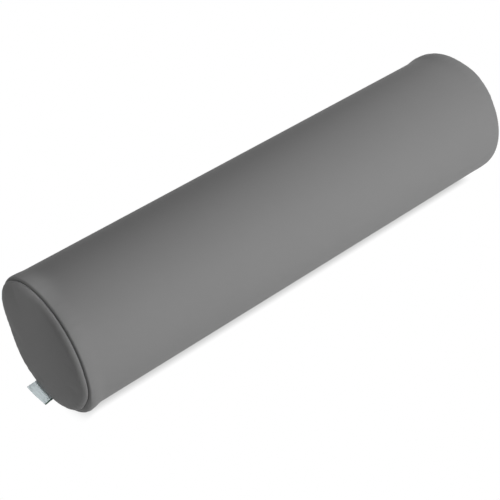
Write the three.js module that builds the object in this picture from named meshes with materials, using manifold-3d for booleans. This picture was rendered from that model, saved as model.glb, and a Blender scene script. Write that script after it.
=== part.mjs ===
// Massage bolster: a foam roll in a tight leatherette cover that closes with a long zip at its back.
// Millimetres, +Z up, +X along the roll. The origin is on the floor, under the middle of the roll.

import * as THREE from 'three';
import { mergeVertices } from 'three/addons/utils/BufferGeometryUtils.js';
import ManifoldModule from 'manifold-3d';

const manifold = await ManifoldModule();
manifold.setup();

// The roll
const rollDiameter = 150;
const rollLength = 600; // over both crowned ends
const restFlatDepth = 0.5; // pressed flat where the roll lies on the floor

// The leatherette cover
const skin = 1.2; // leatherette with its knitted backing
const seamAllowance = 12; // turned in behind every seam
const gap = 0.3; // between pieces that touch
const seamDepth = 3.2; // from the barrel down to the stitched line of an end seam
const shoulderRoom = 1; // roundness of the barrel's edge beyond its layers
const endCrown = 7.5; // how far an end stands past its seam
const endEdge = 10; // roundness of an end's edge, along its face
const endFaceCrown = 1; // of the flat part of an end
const rimBand = 19; // along the roll, lifted by the turned-in allowances
const rimAllowanceShare = 0.5; // of the lift that is left where the allowances end

// The lift isn't even all round: each end is fullest on one side.
const nearRimLift = 1.4;
const nearRimSwing = 0.7;
const nearRimFullest = 219; // degrees from +Y towards +Z
const farRimLift = 1.1;
const farRimSwing = 1;
const farRimFullest = 43; // degrees from +Y towards +Z

// The opening and its zip, level with the roll's axis and a little above it, at the back
const zipDegrees = 12; // from +Y towards +Z
const openingInset = 46; // from each end seam to the tip of the opening
const openingWidth = 12;
const openingTip = 14; // length over which the folded edges close at each tip
const openingAllowance = 10; // folded under beside the opening
const tapeThickness = 0.5;
const tapeWidth = 13;
const tapeOverrun = 9; // past each tip of the opening
const toothPitch = 3;
const toothThickness = 2.6;
const toothClearance = 0.3;
const toothReach = 0.7; // past the middle of the chain
const toothBody = 1.3; // from the end of the other row's teeth to the rail
const railWidth = 0.8; // the clamped edge that joins a row
const railGrip = 0.5; // how deep the tape's edge sits in the rail
const neckShare = 0.33; // of the width that a neck and a head share
const bodyShare = 0.63; // of the pitch
const rowSplay = 1.55; // of each row in the slider's mouths

// The slider and its pull tab
const sliderLength = 12;
const sliderPlate = 1.1;
const sliderWall = 0.75;
const sliderClearance = 0.25; // round the teeth
const sliderMouth = 1; // straight length of the two mouths
const sliderThroat = 8; // length over which the rows part
const sliderEdge = 0.25; // chamfer
const bailLength = 8;
const bailWidth = 2;
const bailEyeSlack = 0.5; // height of the eye that lifts the tab clear of the cover
const bailStock = 1; // height of the metal over the bail's eye
const bailFoot = 1.7; // length of each foot
const bailSlope = 0.9; // how far each end of the bail leans in
const tabThickness = 1.2;
const tabLength = 24; // from the pivot to the tip
const tabArm = 1.3; // each side of the eye
const tabWidth = 7;
const tabWaist = 4.4;
const tabWaistShare = 0.34; // of the tab's length
const tabShoulderShare = 0.56; // of the tab's length
const tabSlotLength = 4.5;
const tabSlotWidth = 1.8;
const tabSlotMargin = 3; // from the tip
const stopLength = 2.6;
const stopThickness = 3.8;
const bottomStopLength = 3.6;

// The side label, a folded ribbon in the near end seam
const labelDegrees = 276.5; // from +Y towards +Z
const labelWidth = 27; // along the rim
const labelReach = 15; // out of the seam
const labelDroop = 1.9; // of its outer edge
const ribbon = 0.35;
const labelFold = 0.3; // open room inside the fold

// How finely round shapes are drawn
const ringSteps = 42;
const restSteps = 2;
const shoulderSteps = 3;
const edgeSteps = 4;
const coreEdgeSteps = 2;
const splaySteps = 5;
const ribbonSteps = 4;
const arcSteps = 3;
const paddleSteps = 6;
const overrun = 5; // of a cutting shape past what it cuts

const coverRadius = rollDiameter / 2;
const axisHeight = coverRadius - restFlatDepth;
const seamRadius = coverRadius - seamDepth;
const seamHalf = rollLength / 2 - endCrown;
const near = -1;
const far = 1;

// Depths under the cover's outer face at the rims: the folded panel, the end's flange, the foam.
const hemDepth = 2 * skin;
const flangeDepth = hemDepth + gap;
const flangeInside = flangeDepth + skin;
const coreDepth = flangeInside + gap;
const shoulder = coreDepth + shoulderRoom;

const radians = THREE.MathUtils.degToRad;

// Angles of a ring's points. The steps on the rest flat end where the round barrel leaves the floor.
function ringAngles() {
  const flatAngle = Math.acos(axisHeight / coverRadius);
  const bottom = radians(270);
  const angles = [];
  for (let step = 0; step < restSteps; step += 1) {
    angles.push(bottom - flatAngle + (2 * flatAngle * step) / restSteps);
  }
  const openArc = 2 * Math.PI - 2 * flatAngle;
  for (let step = 0; step < ringSteps; step += 1) {
    angles.push(bottom + flatAngle + (openArc * step) / ringSteps);
  }
  return angles;
}

const angles = ringAngles();

function rimLift(side, angle) {
  if (side === near) {
    return nearRimLift + nearRimSwing * Math.cos(angle - radians(nearRimFullest));
  }
  return farRimLift + farRimSwing * Math.cos(angle - radians(farRimFullest));
}

// A ring round the axis. Its radius may follow the rim's lift, and what would reach
// below the floor, less its depth under the cover, is pressed flat.
function ring(side, inset, depth, radiusAt) {
  const x = side * (seamHalf - inset);
  return angles.map((angle) => {
    const radius = radiusAt(rimLift(side, angle));
    const height = Math.max(radius * Math.sin(angle), depth - axisHeight);
    return new THREE.Vector3(x, radius * Math.cos(angle), height);
  });
}

function pole(side, inset) {
  return [new THREE.Vector3(side * (seamHalf - inset), 0, 0)];
}

function shoulderRing(side, depth) {
  return ring(side, shoulder, depth, (lift) => coverRadius + lift - depth);
}

function allowanceRing(side, inset, depth) {
  return ring(side, inset, depth, (lift) => coverRadius + lift * rimAllowanceShare - depth);
}

function bandRing(side, depth) {
  return ring(side, rimBand, depth, () => coverRadius - depth);
}

function meshGeometry(points, triangles) {
  const geometry = new THREE.BufferGeometry();
  geometry.setAttribute('position', new THREE.Float32BufferAttribute(points.flatMap((p) => p.toArray()), 3));
  geometry.setIndex(triangles);
  return geometry;
}

// A body of revolution whose radius may change round the axis: rings are joined in
// order, a ring of one point is a pole, and with no poles the last ring joins the first.
// Four corners are split on their shorter diagonal, so that layers bend along like lines.
function revolved(rings) {
  const points = rings.flat();
  const bands = rings[0].length > 1 ? rings.length : rings.length - 1;
  const triangles = [];
  let start = 0;
  for (let band = 0; band < bands; band += 1) {
    const here = rings[band].length;
    const nextStart = (start + here) % points.length;
    const there = rings[(band + 1) % rings.length].length;
    const around = Math.max(here, there);
    for (let i = 0; i < around; i += 1) {
      const j = (i + 1) % around;
      const a = start + (i % here);
      const b = start + (j % here);
      const c = nextStart + (i % there);
      const d = nextStart + (j % there);
      if (here === 1) {
        triangles.push(a, d, c);
      } else if (there === 1) {
        triangles.push(a, b, c);
      } else if (points[b].distanceTo(points[c]) < points[a].distanceTo(points[d])) {
        triangles.push(a, b, c, b, d, c);
      } else {
        triangles.push(a, b, d, a, d, c);
      }
    }
    start += here;
  }
  return meshGeometry(points, triangles);
}

// A body through like sections, each an outline of flat points with its own placing.
function swept(sections, place) {
  const count = sections[0].length;
  const points = sections.flatMap((outline, station) => outline.map((p) => place(p, station)));
  const last = (sections.length - 1) * count;
  const triangles = [];
  for (const [a, b, c] of THREE.ShapeUtils.triangulateShape(sections[0], [])) {
    triangles.push(a, c, b);
  }
  for (const [a, b, c] of THREE.ShapeUtils.triangulateShape(sections[sections.length - 1], [])) {
    triangles.push(last + a, last + b, last + c);
  }
  for (let station = 0; station < sections.length - 1; station += 1) {
    for (let i = 0; i < count; i += 1) {
      const a = station * count + i;
      const b = station * count + ((i + 1) % count);
      triangles.push(a, b, a + count);
      triangles.push(b, b + count, a + count);
    }
  }
  return meshGeometry(points, triangles);
}

function bareGeometry(geometry) {
  const bare = geometry.clone();
  bare.deleteAttribute('normal');
  bare.deleteAttribute('uv');
  return mergeVertices(bare);
}

function solidOf(geometry) {
  const bare = bareGeometry(geometry);
  return new manifold.Manifold(new manifold.Mesh({
    numProp: 3,
    vertProperties: Float32Array.from(bare.attributes.position.array),
    triVerts: Uint32Array.from(bare.index.array),
  }));
}

function geometryOf(solid) {
  const mesh = solid.getMesh();
  const geometry = new THREE.BufferGeometry();
  geometry.setAttribute('position', new THREE.BufferAttribute(mesh.vertProperties, 3));
  geometry.setIndex(new THREE.BufferAttribute(mesh.triVerts, 1));
  return geometry;
}

// A plate with the outline of a shape, lying on the plane at the given level.
function plate(shape, level, thickness) {
  const geometry = new THREE.ExtrudeGeometry(shape, { depth: thickness, bevelEnabled: false });
  return geometry.translate(0, 0, level);
}

function material(colour, roughness, metalness) {
  return new THREE.MeshStandardMaterial({ color: colour, roughness, metalness });
}

const leatherette = material(0x868686, 0.55, 0);
const foam = material(0xe6dcc0, 0.95, 0);
const tapeFabric = material(0x5c5c5e, 0.9, 0);
const toothPlastic = material(0x55565a, 0.4, 0);
const castZinc = material(0x8d8f94, 0.35, 0.9);
const satinRibbon = material(0xc9d6d8, 0.6, 0);

function piece(name, geometry, finish) {
  const mesh = new THREE.Mesh(geometry, finish);
  mesh.name = name;
  return mesh;
}

// In the zip's own frame X is along the roll, Y runs down the back and Z points out of the cover.
const zipTurn = radians(zipDegrees) - Math.PI / 2;
const tapeRadius = coverRadius - hemDepth - gap - tapeThickness / 2;
const openingHalf = seamHalf - openingInset;
const openingStraight = openingHalf - openingTip;
const chainHalfWidth = toothReach + toothBody + railWidth;
const railInside = toothReach + toothBody;
const tapeEdge = chainHalfWidth - railGrip + gap / 2;
const tapeHalfLength = openingHalf + tapeOverrun;

// Along X: the closed end of the zip is at the near end of the roll.
const topStopStart = -openingStraight;
const topStopEnd = topStopStart + stopLength;
const sliderFront = topStopEnd + gap;
const sliderRear = sliderFront + sliderLength;
const chainStart = topStopEnd + gap;
const chainRoom = openingStraight - bottomStopLength - gap - chainStart;
const toothCount = Math.floor(chainRoom / toothPitch);
const chainEnd = chainStart + toothCount * toothPitch;
const bottomStopStart = chainEnd + gap;
const sliderTravel = bottomStopStart - gap - sliderRear;

// How far each row stands off the closed chain at a place along the roll, and how fast that grows.
function throatShare(x) {
  const mouth = sliderFront + sliderMouth;
  return THREE.MathUtils.clamp((mouth + sliderThroat - x) / sliderThroat, 0, 1);
}

function splayAt(x) {
  const share = throatShare(x);
  return rowSplay * share * share * (3 - 2 * share);
}

function splaySlope(x) {
  const share = throatShare(x);
  return (-6 * rowSplay * share * (1 - share)) / sliderThroat;
}

// A point of a row: a place along it from x, and a distance from the middle of the closed
// chain. Where the row bends, its teeth stay square to it and fan apart.
function rowPoint(side, x, along, across) {
  const slope = splaySlope(x);
  const length = Math.hypot(1, slope);
  const inward = chainHalfWidth - across;
  return new THREE.Vector2(
    x + (along + inward * slope) / length,
    side * (chainHalfWidth + splayAt(x) + (along * slope - inward) / length),
  );
}

// Places along the roll where the rows bend, from one to the other.
function bendPlaces(from, to) {
  const mouth = sliderFront + sliderMouth;
  const places = [from];
  for (let step = 0; step <= splaySteps; step += 1) {
    const x = mouth + (sliderThroat * step) / splaySteps;
    if (x > from && x < to) {
      places.push(x);
    }
  }
  places.push(to);
  return places;
}

// A plate that bends with the rows, between two distances from the middle of the chain.
function bentPlate(side, inner, outer, from, to, level, thickness) {
  const places = bendPlaces(from, to);
  const innerLine = places.map((x) => new THREE.Vector2(x, side * (inner + splayAt(x))));
  const outerLine = places.map((x) => new THREE.Vector2(x, side * (outer + splayAt(x))));
  return plate(new THREE.Shape([...innerLine, ...outerLine.reverse()]), level, thickness);
}

// A part of the zip's ring-shaped surroundings: a curved plate between two radii.
function curvedOutline(innerRadius, outerRadius, from, to) {
  const outline = [];
  for (let step = 0; step <= arcSteps; step += 1) {
    const across = from + ((to - from) * step) / arcSteps;
    outline.push(new THREE.Vector2(across, Math.sqrt(outerRadius * outerRadius - across * across)));
  }
  for (let step = arcSteps; step >= 0; step -= 1) {
    const across = from + ((to - from) * step) / arcSteps;
    outline.push(new THREE.Vector2(across, Math.sqrt(innerRadius * innerRadius - across * across)));
  }
  return outline;
}

function alongRoll(point, x) {
  return new THREE.Vector3(x, point.x, point.y);
}

// The folded edges of the opening: one curved pad under the skin, cut through with it.
function openingHem() {
  const reach = openingWidth / 2 + openingAllowance;
  const half = seamHalf - seamAllowance - gap;
  const outline = curvedOutline(coverRadius - hemDepth, coverRadius - skin / 2, reach, -reach);
  return swept([outline, outline], (point, station) => alongRoll(point, station === 0 ? -half : half));
}

function openingCut() {
  const half = openingWidth / 2;
  const outline = new THREE.Shape([
    new THREE.Vector2(-openingHalf, 0),
    new THREE.Vector2(-openingStraight, -half),
    new THREE.Vector2(openingStraight, -half),
    new THREE.Vector2(openingHalf, 0),
    new THREE.Vector2(openingStraight, half),
    new THREE.Vector2(-openingStraight, half),
  ]);
  const level = coverRadius - hemDepth - overrun;
  return plate(outline, level, hemDepth + 2 * overrun);
}

function barrelOutside(side) {
  const rings = [];
  for (let step = 0; step <= shoulderSteps; step += 1) {
    const turn = (Math.PI / 2) * (step / shoulderSteps);
    const inset = shoulder * (1 - Math.cos(turn));
    rings.push(ring(side, inset, 0, (lift) => seamRadius + (seamDepth + lift) * Math.sin(turn)));
  }
  rings.push(allowanceRing(side, seamAllowance, 0), bandRing(side, 0));
  return rings;
}

function barrelInside(side) {
  return [
    ring(side, hemDepth, hemDepth, () => seamRadius),
    shoulderRing(side, hemDepth),
    allowanceRing(side, seamAllowance, hemDepth),
    allowanceRing(side, seamAllowance, skin),
    bandRing(side, skin),
  ];
}

function barrelCover() {
  const tube = revolved([
    ...barrelOutside(near),
    ...barrelOutside(far).reverse(),
    ...barrelInside(far),
    ...barrelInside(near).reverse(),
  ]);
  const hem = solidOf(openingHem().rotateX(zipTurn));
  const cut = solidOf(openingCut().rotateX(zipTurn));
  return geometryOf(solidOf(tube).add(hem).subtract(cut));
}

// The outside of an end, or a surface at a depth behind it, from its middle to its edge.
function endFace(side, depth, steps) {
  const faceRadius = seamRadius - gap - endEdge;
  const faceOut = endCrown - endFaceCrown - depth;
  const rings = [pole(side, depth - endCrown)];
  for (let step = 0; step < steps; step += 1) {
    const turn = (Math.PI / 2) * (step / steps);
    const radius = faceRadius + (endEdge - depth) * Math.sin(turn);
    rings.push(ring(side, -faceOut * Math.cos(turn), depth, () => radius));
  }
  rings.push(ring(side, 0, depth, () => seamRadius - gap - depth));
  return rings;
}

function endCover(side) {
  const under = seamRadius - gap;
  const rings = [
    ...endFace(side, 0, edgeSteps),
    ring(side, flangeDepth, flangeDepth, () => under),
    shoulderRing(side, flangeDepth),
    allowanceRing(side, seamAllowance, flangeDepth),
    allowanceRing(side, seamAllowance, flangeInside),
    shoulderRing(side, flangeInside),
    ring(side, flangeInside, flangeInside, () => under - skin),
    ...endFace(side, skin, coreEdgeSteps).reverse(),
  ];
  return revolved(side === near ? rings : rings.reverse());
}

function coreEnd(side) {
  const under = seamRadius - gap - skin - gap;
  const past = seamAllowance + gap;
  return [
    ...endFace(side, skin + gap, coreEdgeSteps),
    ring(side, coreDepth, coreDepth, () => under),
    shoulderRing(side, coreDepth),
    allowanceRing(side, past, coreDepth),
    bandRing(side, skin + gap),
  ];
}

// The foam gives way behind the folded edges, and further behind the chain and its slider.
function corePress() {
  const beside = Math.max(openingWidth / 2 + openingAllowance, tapeEdge + tapeWidth) + gap;
  const behind = chainHalfWidth + rowSplay + sliderClearance + sliderWall + gap;
  const underTape = tapeRadius - tapeThickness / 2 - gap;
  const underSlider = tapeRadius - toothThickness / 2 - sliderClearance - sliderPlate - gap;
  const shallow = curvedOutline(underTape, coverRadius + overrun, beside, -beside);
  const deep = curvedOutline(underSlider, coverRadius, behind, -behind);
  const shallowHalf = seamHalf - seamAllowance;
  const deepHalf = openingHalf;
  const shallowCut = swept([shallow, shallow], (p, station) => alongRoll(p, station === 0 ? -shallowHalf : shallowHalf));
  const deepCut = swept([deep, deep], (p, station) => alongRoll(p, station === 0 ? -deepHalf : deepHalf));
  return solidOf(shallowCut).add(solidOf(deepCut));
}

function foamCore() {
  const roll = revolved([...coreEnd(near), ...coreEnd(far).reverse()]);
  const press = corePress().transform(new THREE.Matrix4().makeRotationX(zipTurn).toArray());
  return geometryOf(solidOf(roll).subtract(press));
}

// One tape, from its edge in the rail to its sewn edge under the cover.
function zipTape(side) {
  const places = bendPlaces(-tapeHalfLength, tapeHalfLength);
  const inner = tapeRadius - tapeThickness / 2;
  const outer = tapeRadius + tapeThickness / 2;
  const sections = places.map((x) => {
    const from = side * (tapeEdge + splayAt(x));
    const to = side * (tapeEdge + tapeWidth);
    return side > 0 ? curvedOutline(inner, outer, to, from) : curvedOutline(inner, outer, from, to);
  });
  return swept(sections, (point, station) => alongRoll(point, places[station]));
}

// A row of teeth on its rail. A head is wider than the neck behind it, so that each
// head is held between two necks of the other row. The rail grips the edge of the tape.
function teethRow(side) {
  const shared = toothPitch - 2 * toothClearance;
  const neck = (shared * neckShare) / 2;
  const head = (shared - shared * neckShare) / 2;
  const body = (toothPitch * bodyShare) / 2;
  const phase = side > 0 ? toothPitch / 4 : (toothPitch * 3) / 4;
  const outline = [rowPoint(side, chainStart, 0, railInside)];
  for (let tooth = 0; tooth < toothCount; tooth += 1) {
    const x = chainStart + phase + tooth * toothPitch;
    outline.push(
      rowPoint(side, x, -body, railInside),
      rowPoint(side, x, -neck, toothReach),
      rowPoint(side, x, -head, -toothReach),
      rowPoint(side, x, head, -toothReach),
      rowPoint(side, x, neck, toothReach),
      rowPoint(side, x, body, railInside),
    );
  }
  outline.push(rowPoint(side, chainEnd, 0, railInside));
  const back = bendPlaces(chainStart, chainEnd).reverse();
  for (const x of back) {
    outline.push(new THREE.Vector2(x, side * (chainHalfWidth + splayAt(x))));
  }
  const level = tapeRadius - toothThickness / 2;
  const row = solidOf(plate(new THREE.Shape(outline), level, toothThickness));
  return geometryOf(row.subtract(gripCut(side, chainStart, chainEnd)));
}

// The groove that holds the edge of a tape.
function gripCut(side, from, to) {
  const height = tapeThickness + 2 * gap;
  const inner = chainHalfWidth - railGrip - gap / 2;
  const outer = chainHalfWidth + overrun;
  const groove = bentPlate(side, inner, outer, from - overrun, to + overrun, tapeRadius - height / 2, height);
  return solidOf(groove);
}

function topStop(side) {
  const level = tapeRadius - stopThickness / 2;
  const block = bentPlate(side, toothReach, chainHalfWidth, topStopStart, topStopEnd, level, stopThickness);
  return geometryOf(solidOf(block).subtract(gripCut(side, topStopStart, topStopEnd)));
}

function bottomStop() {
  const level = tapeRadius - stopThickness / 2;
  const end = bottomStopStart + bottomStopLength;
  const outline = new THREE.Shape([
    new THREE.Vector2(bottomStopStart, -chainHalfWidth),
    new THREE.Vector2(end, -chainHalfWidth),
    new THREE.Vector2(end, chainHalfWidth),
    new THREE.Vector2(bottomStopStart, chainHalfWidth),
  ]);
  let block = solidOf(plate(outline, level, stopThickness));
  for (const side of [-1, 1]) {
    block = block.subtract(gripCut(side, bottomStopStart, end));
  }
  return geometryOf(block);
}

// The slider: two plates with turned edges round the rows, a wedge between the rows in the
// mouths, and a bail on top. The tapes pass out between the turned edges.
const channelHalf = toothThickness / 2 + sliderClearance;
const tapeSlot = tapeThickness + 2 * gap;
const sliderInside = chainHalfWidth + sliderClearance;
const sliderOutside = sliderInside + sliderWall;

function sliderFacePlate(level, thickness) {
  const places = bendPlaces(sliderFront, sliderRear);
  const upper = places.map((x) => new THREE.Vector2(x, sliderOutside + splayAt(x)));
  const lower = places.map((x) => new THREE.Vector2(x, -sliderOutside - splayAt(x)));
  const outline = new THREE.Shape([...lower, ...upper.reverse()]);
  const geometry = new THREE.ExtrudeGeometry(outline, {
    depth: thickness - 2 * sliderEdge,
    bevelThickness: sliderEdge,
    bevelSize: sliderEdge,
    bevelOffset: -sliderEdge,
    bevelSegments: 1,
  });
  return geometry.translate(0, 0, level + sliderEdge);
}

// The wedge fills the room between the parted rows, down to nothing where they meet.
function sliderWedge() {
  const places = bendPlaces(sliderFront, sliderRear);
  const halfWidth = (x) => splayAt(x) - toothReach - toothClearance;
  const wide = places.filter((x) => halfWidth(x) > 0);
  const tip = wide[wide.length - 1] + toothClearance;
  const upper = wide.map((x) => new THREE.Vector2(x, halfWidth(x)));
  const lower = wide.map((x) => new THREE.Vector2(x, -halfWidth(x)));
  const outline = new THREE.Shape([...lower, new THREE.Vector2(tip, 0), ...upper.reverse()]);
  const height = 2 * (channelHalf + sliderPlate / 2);
  return plate(outline, tapeRadius - height / 2, height);
}

const eyeHeight = bailEyeSlack + tabThickness + 2 * gap;
const bailLevel = tapeRadius + channelHalf + sliderPlate;
const pivotLevel = bailLevel + eyeHeight - gap - tabThickness / 2;
const pivotPlace = (sliderFront + sliderRear) / 2;

function sliderBail() {
  const half = bailLength / 2;
  const eyeHalf = half - bailFoot;
  const top = eyeHeight + bailStock;
  const outline = new THREE.Shape([
    new THREE.Vector2(-half, -sliderPlate / 2),
    new THREE.Vector2(half, -sliderPlate / 2),
    new THREE.Vector2(half, top / 2),
    new THREE.Vector2(half - bailSlope, top),
    new THREE.Vector2(bailSlope - half, top),
    new THREE.Vector2(-half, top / 2),
  ]);
  outline.holes.push(new THREE.Path([
    new THREE.Vector2(-eyeHalf, 0),
    new THREE.Vector2(-eyeHalf, eyeHeight),
    new THREE.Vector2(eyeHalf, eyeHeight),
    new THREE.Vector2(eyeHalf, 0),
  ]));
  const bail = plate(outline, -bailWidth / 2, bailWidth);
  return bail.rotateX(Math.PI / 2).translate(pivotPlace, 0, bailLevel);
}

function zipSlider() {
  let body = solidOf(sliderFacePlate(tapeRadius + channelHalf, sliderPlate));
  body = body.add(solidOf(sliderFacePlate(tapeRadius - channelHalf - sliderPlate, sliderPlate)));
  const flange = channelHalf - tapeSlot / 2 + sliderPlate / 2;
  for (const side of [-1, 1]) {
    for (const level of [tapeRadius + tapeSlot / 2, tapeRadius - tapeSlot / 2 - flange]) {
      const inner = sliderInside;
      const outer = sliderOutside - sliderEdge;
      const wall = bentPlate(side, inner, outer, sliderFront + sliderEdge, sliderRear - sliderEdge, level, flange);
      body = body.add(solidOf(wall));
    }
  }
  return geometryOf(body.add(solidOf(sliderWedge())).add(solidOf(sliderBail())));
}

// The pull tab lies along the chain. Its eye goes round one foot of the bail, so that it
// can be laid over to either side.
function zipPullTab() {
  const eyeHalf = bailWidth / 2 + gap;
  const eyeOuter = eyeHalf + tabArm;
  const bar = tabThickness / 2;
  const eyeEnd = bailLength / 2 + gap;
  const waist = tabLength * tabWaistShare;
  const shoulderPlace = tabLength * tabShoulderShare;
  const round = tabWidth / 2;
  const outline = new THREE.Shape();
  outline.moveTo(-bar, -eyeOuter);
  outline.lineTo(eyeEnd, -eyeOuter);
  outline.lineTo(waist, -tabWaist / 2);
  outline.lineTo(shoulderPlace, -tabWidth / 2);
  outline.absarc(tabLength - round, 0, round, -Math.PI / 2, Math.PI / 2, false);
  outline.lineTo(shoulderPlace, tabWidth / 2);
  outline.lineTo(waist, tabWaist / 2);
  outline.lineTo(eyeEnd, eyeOuter);
  outline.lineTo(-bar, eyeOuter);
  outline.holes.push(new THREE.Path([
    new THREE.Vector2(bar, -eyeHalf),
    new THREE.Vector2(bar, eyeHalf),
    new THREE.Vector2(eyeEnd, eyeHalf),
    new THREE.Vector2(eyeEnd, -eyeHalf),
  ]));
  const slotEnd = tabLength - tabSlotMargin;
  outline.holes.push(new THREE.Path([
    new THREE.Vector2(slotEnd - tabSlotLength, -tabSlotWidth / 2),
    new THREE.Vector2(slotEnd - tabSlotLength, tabSlotWidth / 2),
    new THREE.Vector2(slotEnd, tabSlotWidth / 2),
    new THREE.Vector2(slotEnd, -tabSlotWidth / 2),
  ]));
  const geometry = new THREE.ExtrudeGeometry(outline, {
    depth: tabThickness,
    bevelEnabled: false,
    curveSegments: paddleSteps,
  });
  return geometry.translate(0, 0, -tabThickness / 2);
}

// The folded ribbon leaves the seam's corner and droops towards its fold.
function ribbonLine(length, rise) {
  const line = [];
  for (let step = 0; step <= ribbonSteps; step += 1) {
    const x = (length * step) / ribbonSteps;
    const share = x / labelReach;
    line.push(new THREE.Vector2(x, rise + labelDroop * share * share));
  }
  return line;
}

function sideLabel() {
  const foot = seamRadius + gap;
  const seamCorner = seamHalf + gap;
  const thick = 2 * ribbon + labelFold;
  const outline = [
    ...ribbonLine(labelReach, 0),
    new THREE.Vector2(labelReach + ribbon, labelDroop + thick / 2),
    ...ribbonLine(labelReach, thick).reverse(),
    ...ribbonLine(labelReach - ribbon, ribbon + labelFold),
    ...ribbonLine(labelReach - ribbon, ribbon).reverse(),
  ];
  const sections = [];
  for (let step = 0; step <= ribbonSteps; step += 1) {
    sections.push(outline);
  }
  return swept(sections, (point, station) => {
    const along = labelWidth * (1 / 2 - station / ribbonSteps);
    const angle = radians(labelDegrees) + along / seamRadius;
    const radius = foot + point.y;
    return new THREE.Vector3(-seamCorner - point.x, radius * Math.cos(angle), radius * Math.sin(angle));
  });
}

const zip = new THREE.Group();
zip.rotation.x = zipTurn;
zip.add(
  piece('zip_tape_upper', zipTape(-1), tapeFabric),
  piece('zip_tape_lower', zipTape(1), tapeFabric),
  piece('zip_teeth_upper', teethRow(-1), toothPlastic),
  piece('zip_teeth_lower', teethRow(1), toothPlastic),
  piece('zip_top_stop_upper', topStop(-1), toothPlastic),
  piece('zip_top_stop_lower', topStop(1), toothPlastic),
  piece('zip_bottom_stop', bottomStop(), toothPlastic),
  piece('zip_slider', zipSlider(), castZinc),
);

const pullTab = piece('zip_pull_tab', zipPullTab(), castZinc);
pullTab.position.set(pivotPlace, 0, pivotLevel);
zip.add(pullTab);

const roll = new THREE.Group();
roll.position.z = axisHeight;
roll.add(
  piece('foam_core', foamCore(), foam),
  piece('barrel_cover', barrelCover(), leatherette),
  piece('near_end_cover', endCover(near), leatherette),
  piece('far_end_cover', endCover(far), leatherette),
  piece('side_label', sideLabel(), satinRibbon),
  zip,
);

const bolster = new THREE.Group();
bolster.add(roll);

export default bolster;
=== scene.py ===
"""Massage bolster: the looks of a foam roll in a tight grey leatherette cover that closes with
a long zip at its back. Metres, +Z up, +X along the roll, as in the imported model."""

import math
import random

import bmesh
import bpy
from bpy.props import FloatProperty, FloatVectorProperty, PointerProperty
from mathutils import Matrix, Vector


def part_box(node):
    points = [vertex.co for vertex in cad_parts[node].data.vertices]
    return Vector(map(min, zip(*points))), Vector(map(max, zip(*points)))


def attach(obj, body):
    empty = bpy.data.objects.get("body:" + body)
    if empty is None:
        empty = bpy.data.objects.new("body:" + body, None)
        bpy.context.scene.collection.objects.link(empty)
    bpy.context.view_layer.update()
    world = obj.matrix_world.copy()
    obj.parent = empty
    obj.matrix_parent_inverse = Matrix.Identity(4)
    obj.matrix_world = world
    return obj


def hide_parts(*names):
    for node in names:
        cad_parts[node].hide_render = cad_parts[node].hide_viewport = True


bl_info = {
    "name": "Massage bolster",
    "version": (1, 0, 0),
    "blender": (4, 5, 0),
    "location": "View3D > Sidebar > Bolster",
    "description": "Dresses the bolster's packed model with its leatherette cover, zip and label",
    "category": "Add Mesh",
}

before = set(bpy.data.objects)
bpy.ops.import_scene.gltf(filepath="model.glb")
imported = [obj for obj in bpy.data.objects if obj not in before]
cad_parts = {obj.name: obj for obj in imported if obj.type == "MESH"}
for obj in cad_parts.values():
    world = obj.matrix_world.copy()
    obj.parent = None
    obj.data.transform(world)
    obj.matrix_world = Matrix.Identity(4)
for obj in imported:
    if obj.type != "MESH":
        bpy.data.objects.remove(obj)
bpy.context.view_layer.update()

NEAR = -1
FAR = 1
ALONG = Vector((1, 0, 0))
TOUCH = 1e-5  # how close two places are to be the same
WELD = 1e-6  # how close two points are to be one


def linear(hex_colour):
    """The linear colour of an sRGB hex value."""
    shares = [int(hex_colour[i:i + 2], 16) / 255 for i in (0, 2, 4)]
    return tuple(s / 12.92 if s <= 0.04045 else ((s + 0.055) / 1.055) ** 2.4 for s in shares)


# Settings

def length(name, description, default):
    return FloatProperty(name=name, description=description, default=default, unit="LENGTH")


def angle(name, description, degrees):
    return FloatProperty(name=name, description=description, default=math.radians(degrees),
                         subtype="ANGLE")


def colour(name, description, hex_colour):
    return FloatVectorProperty(name=name, description=description, default=linear(hex_colour),
                               subtype="COLOR", size=3, min=0.0, max=1.0)


def place_in_room(name, place):
    return FloatVectorProperty(name=name, default=place, subtype="TRANSLATION", size=3, unit="LENGTH")


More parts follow.
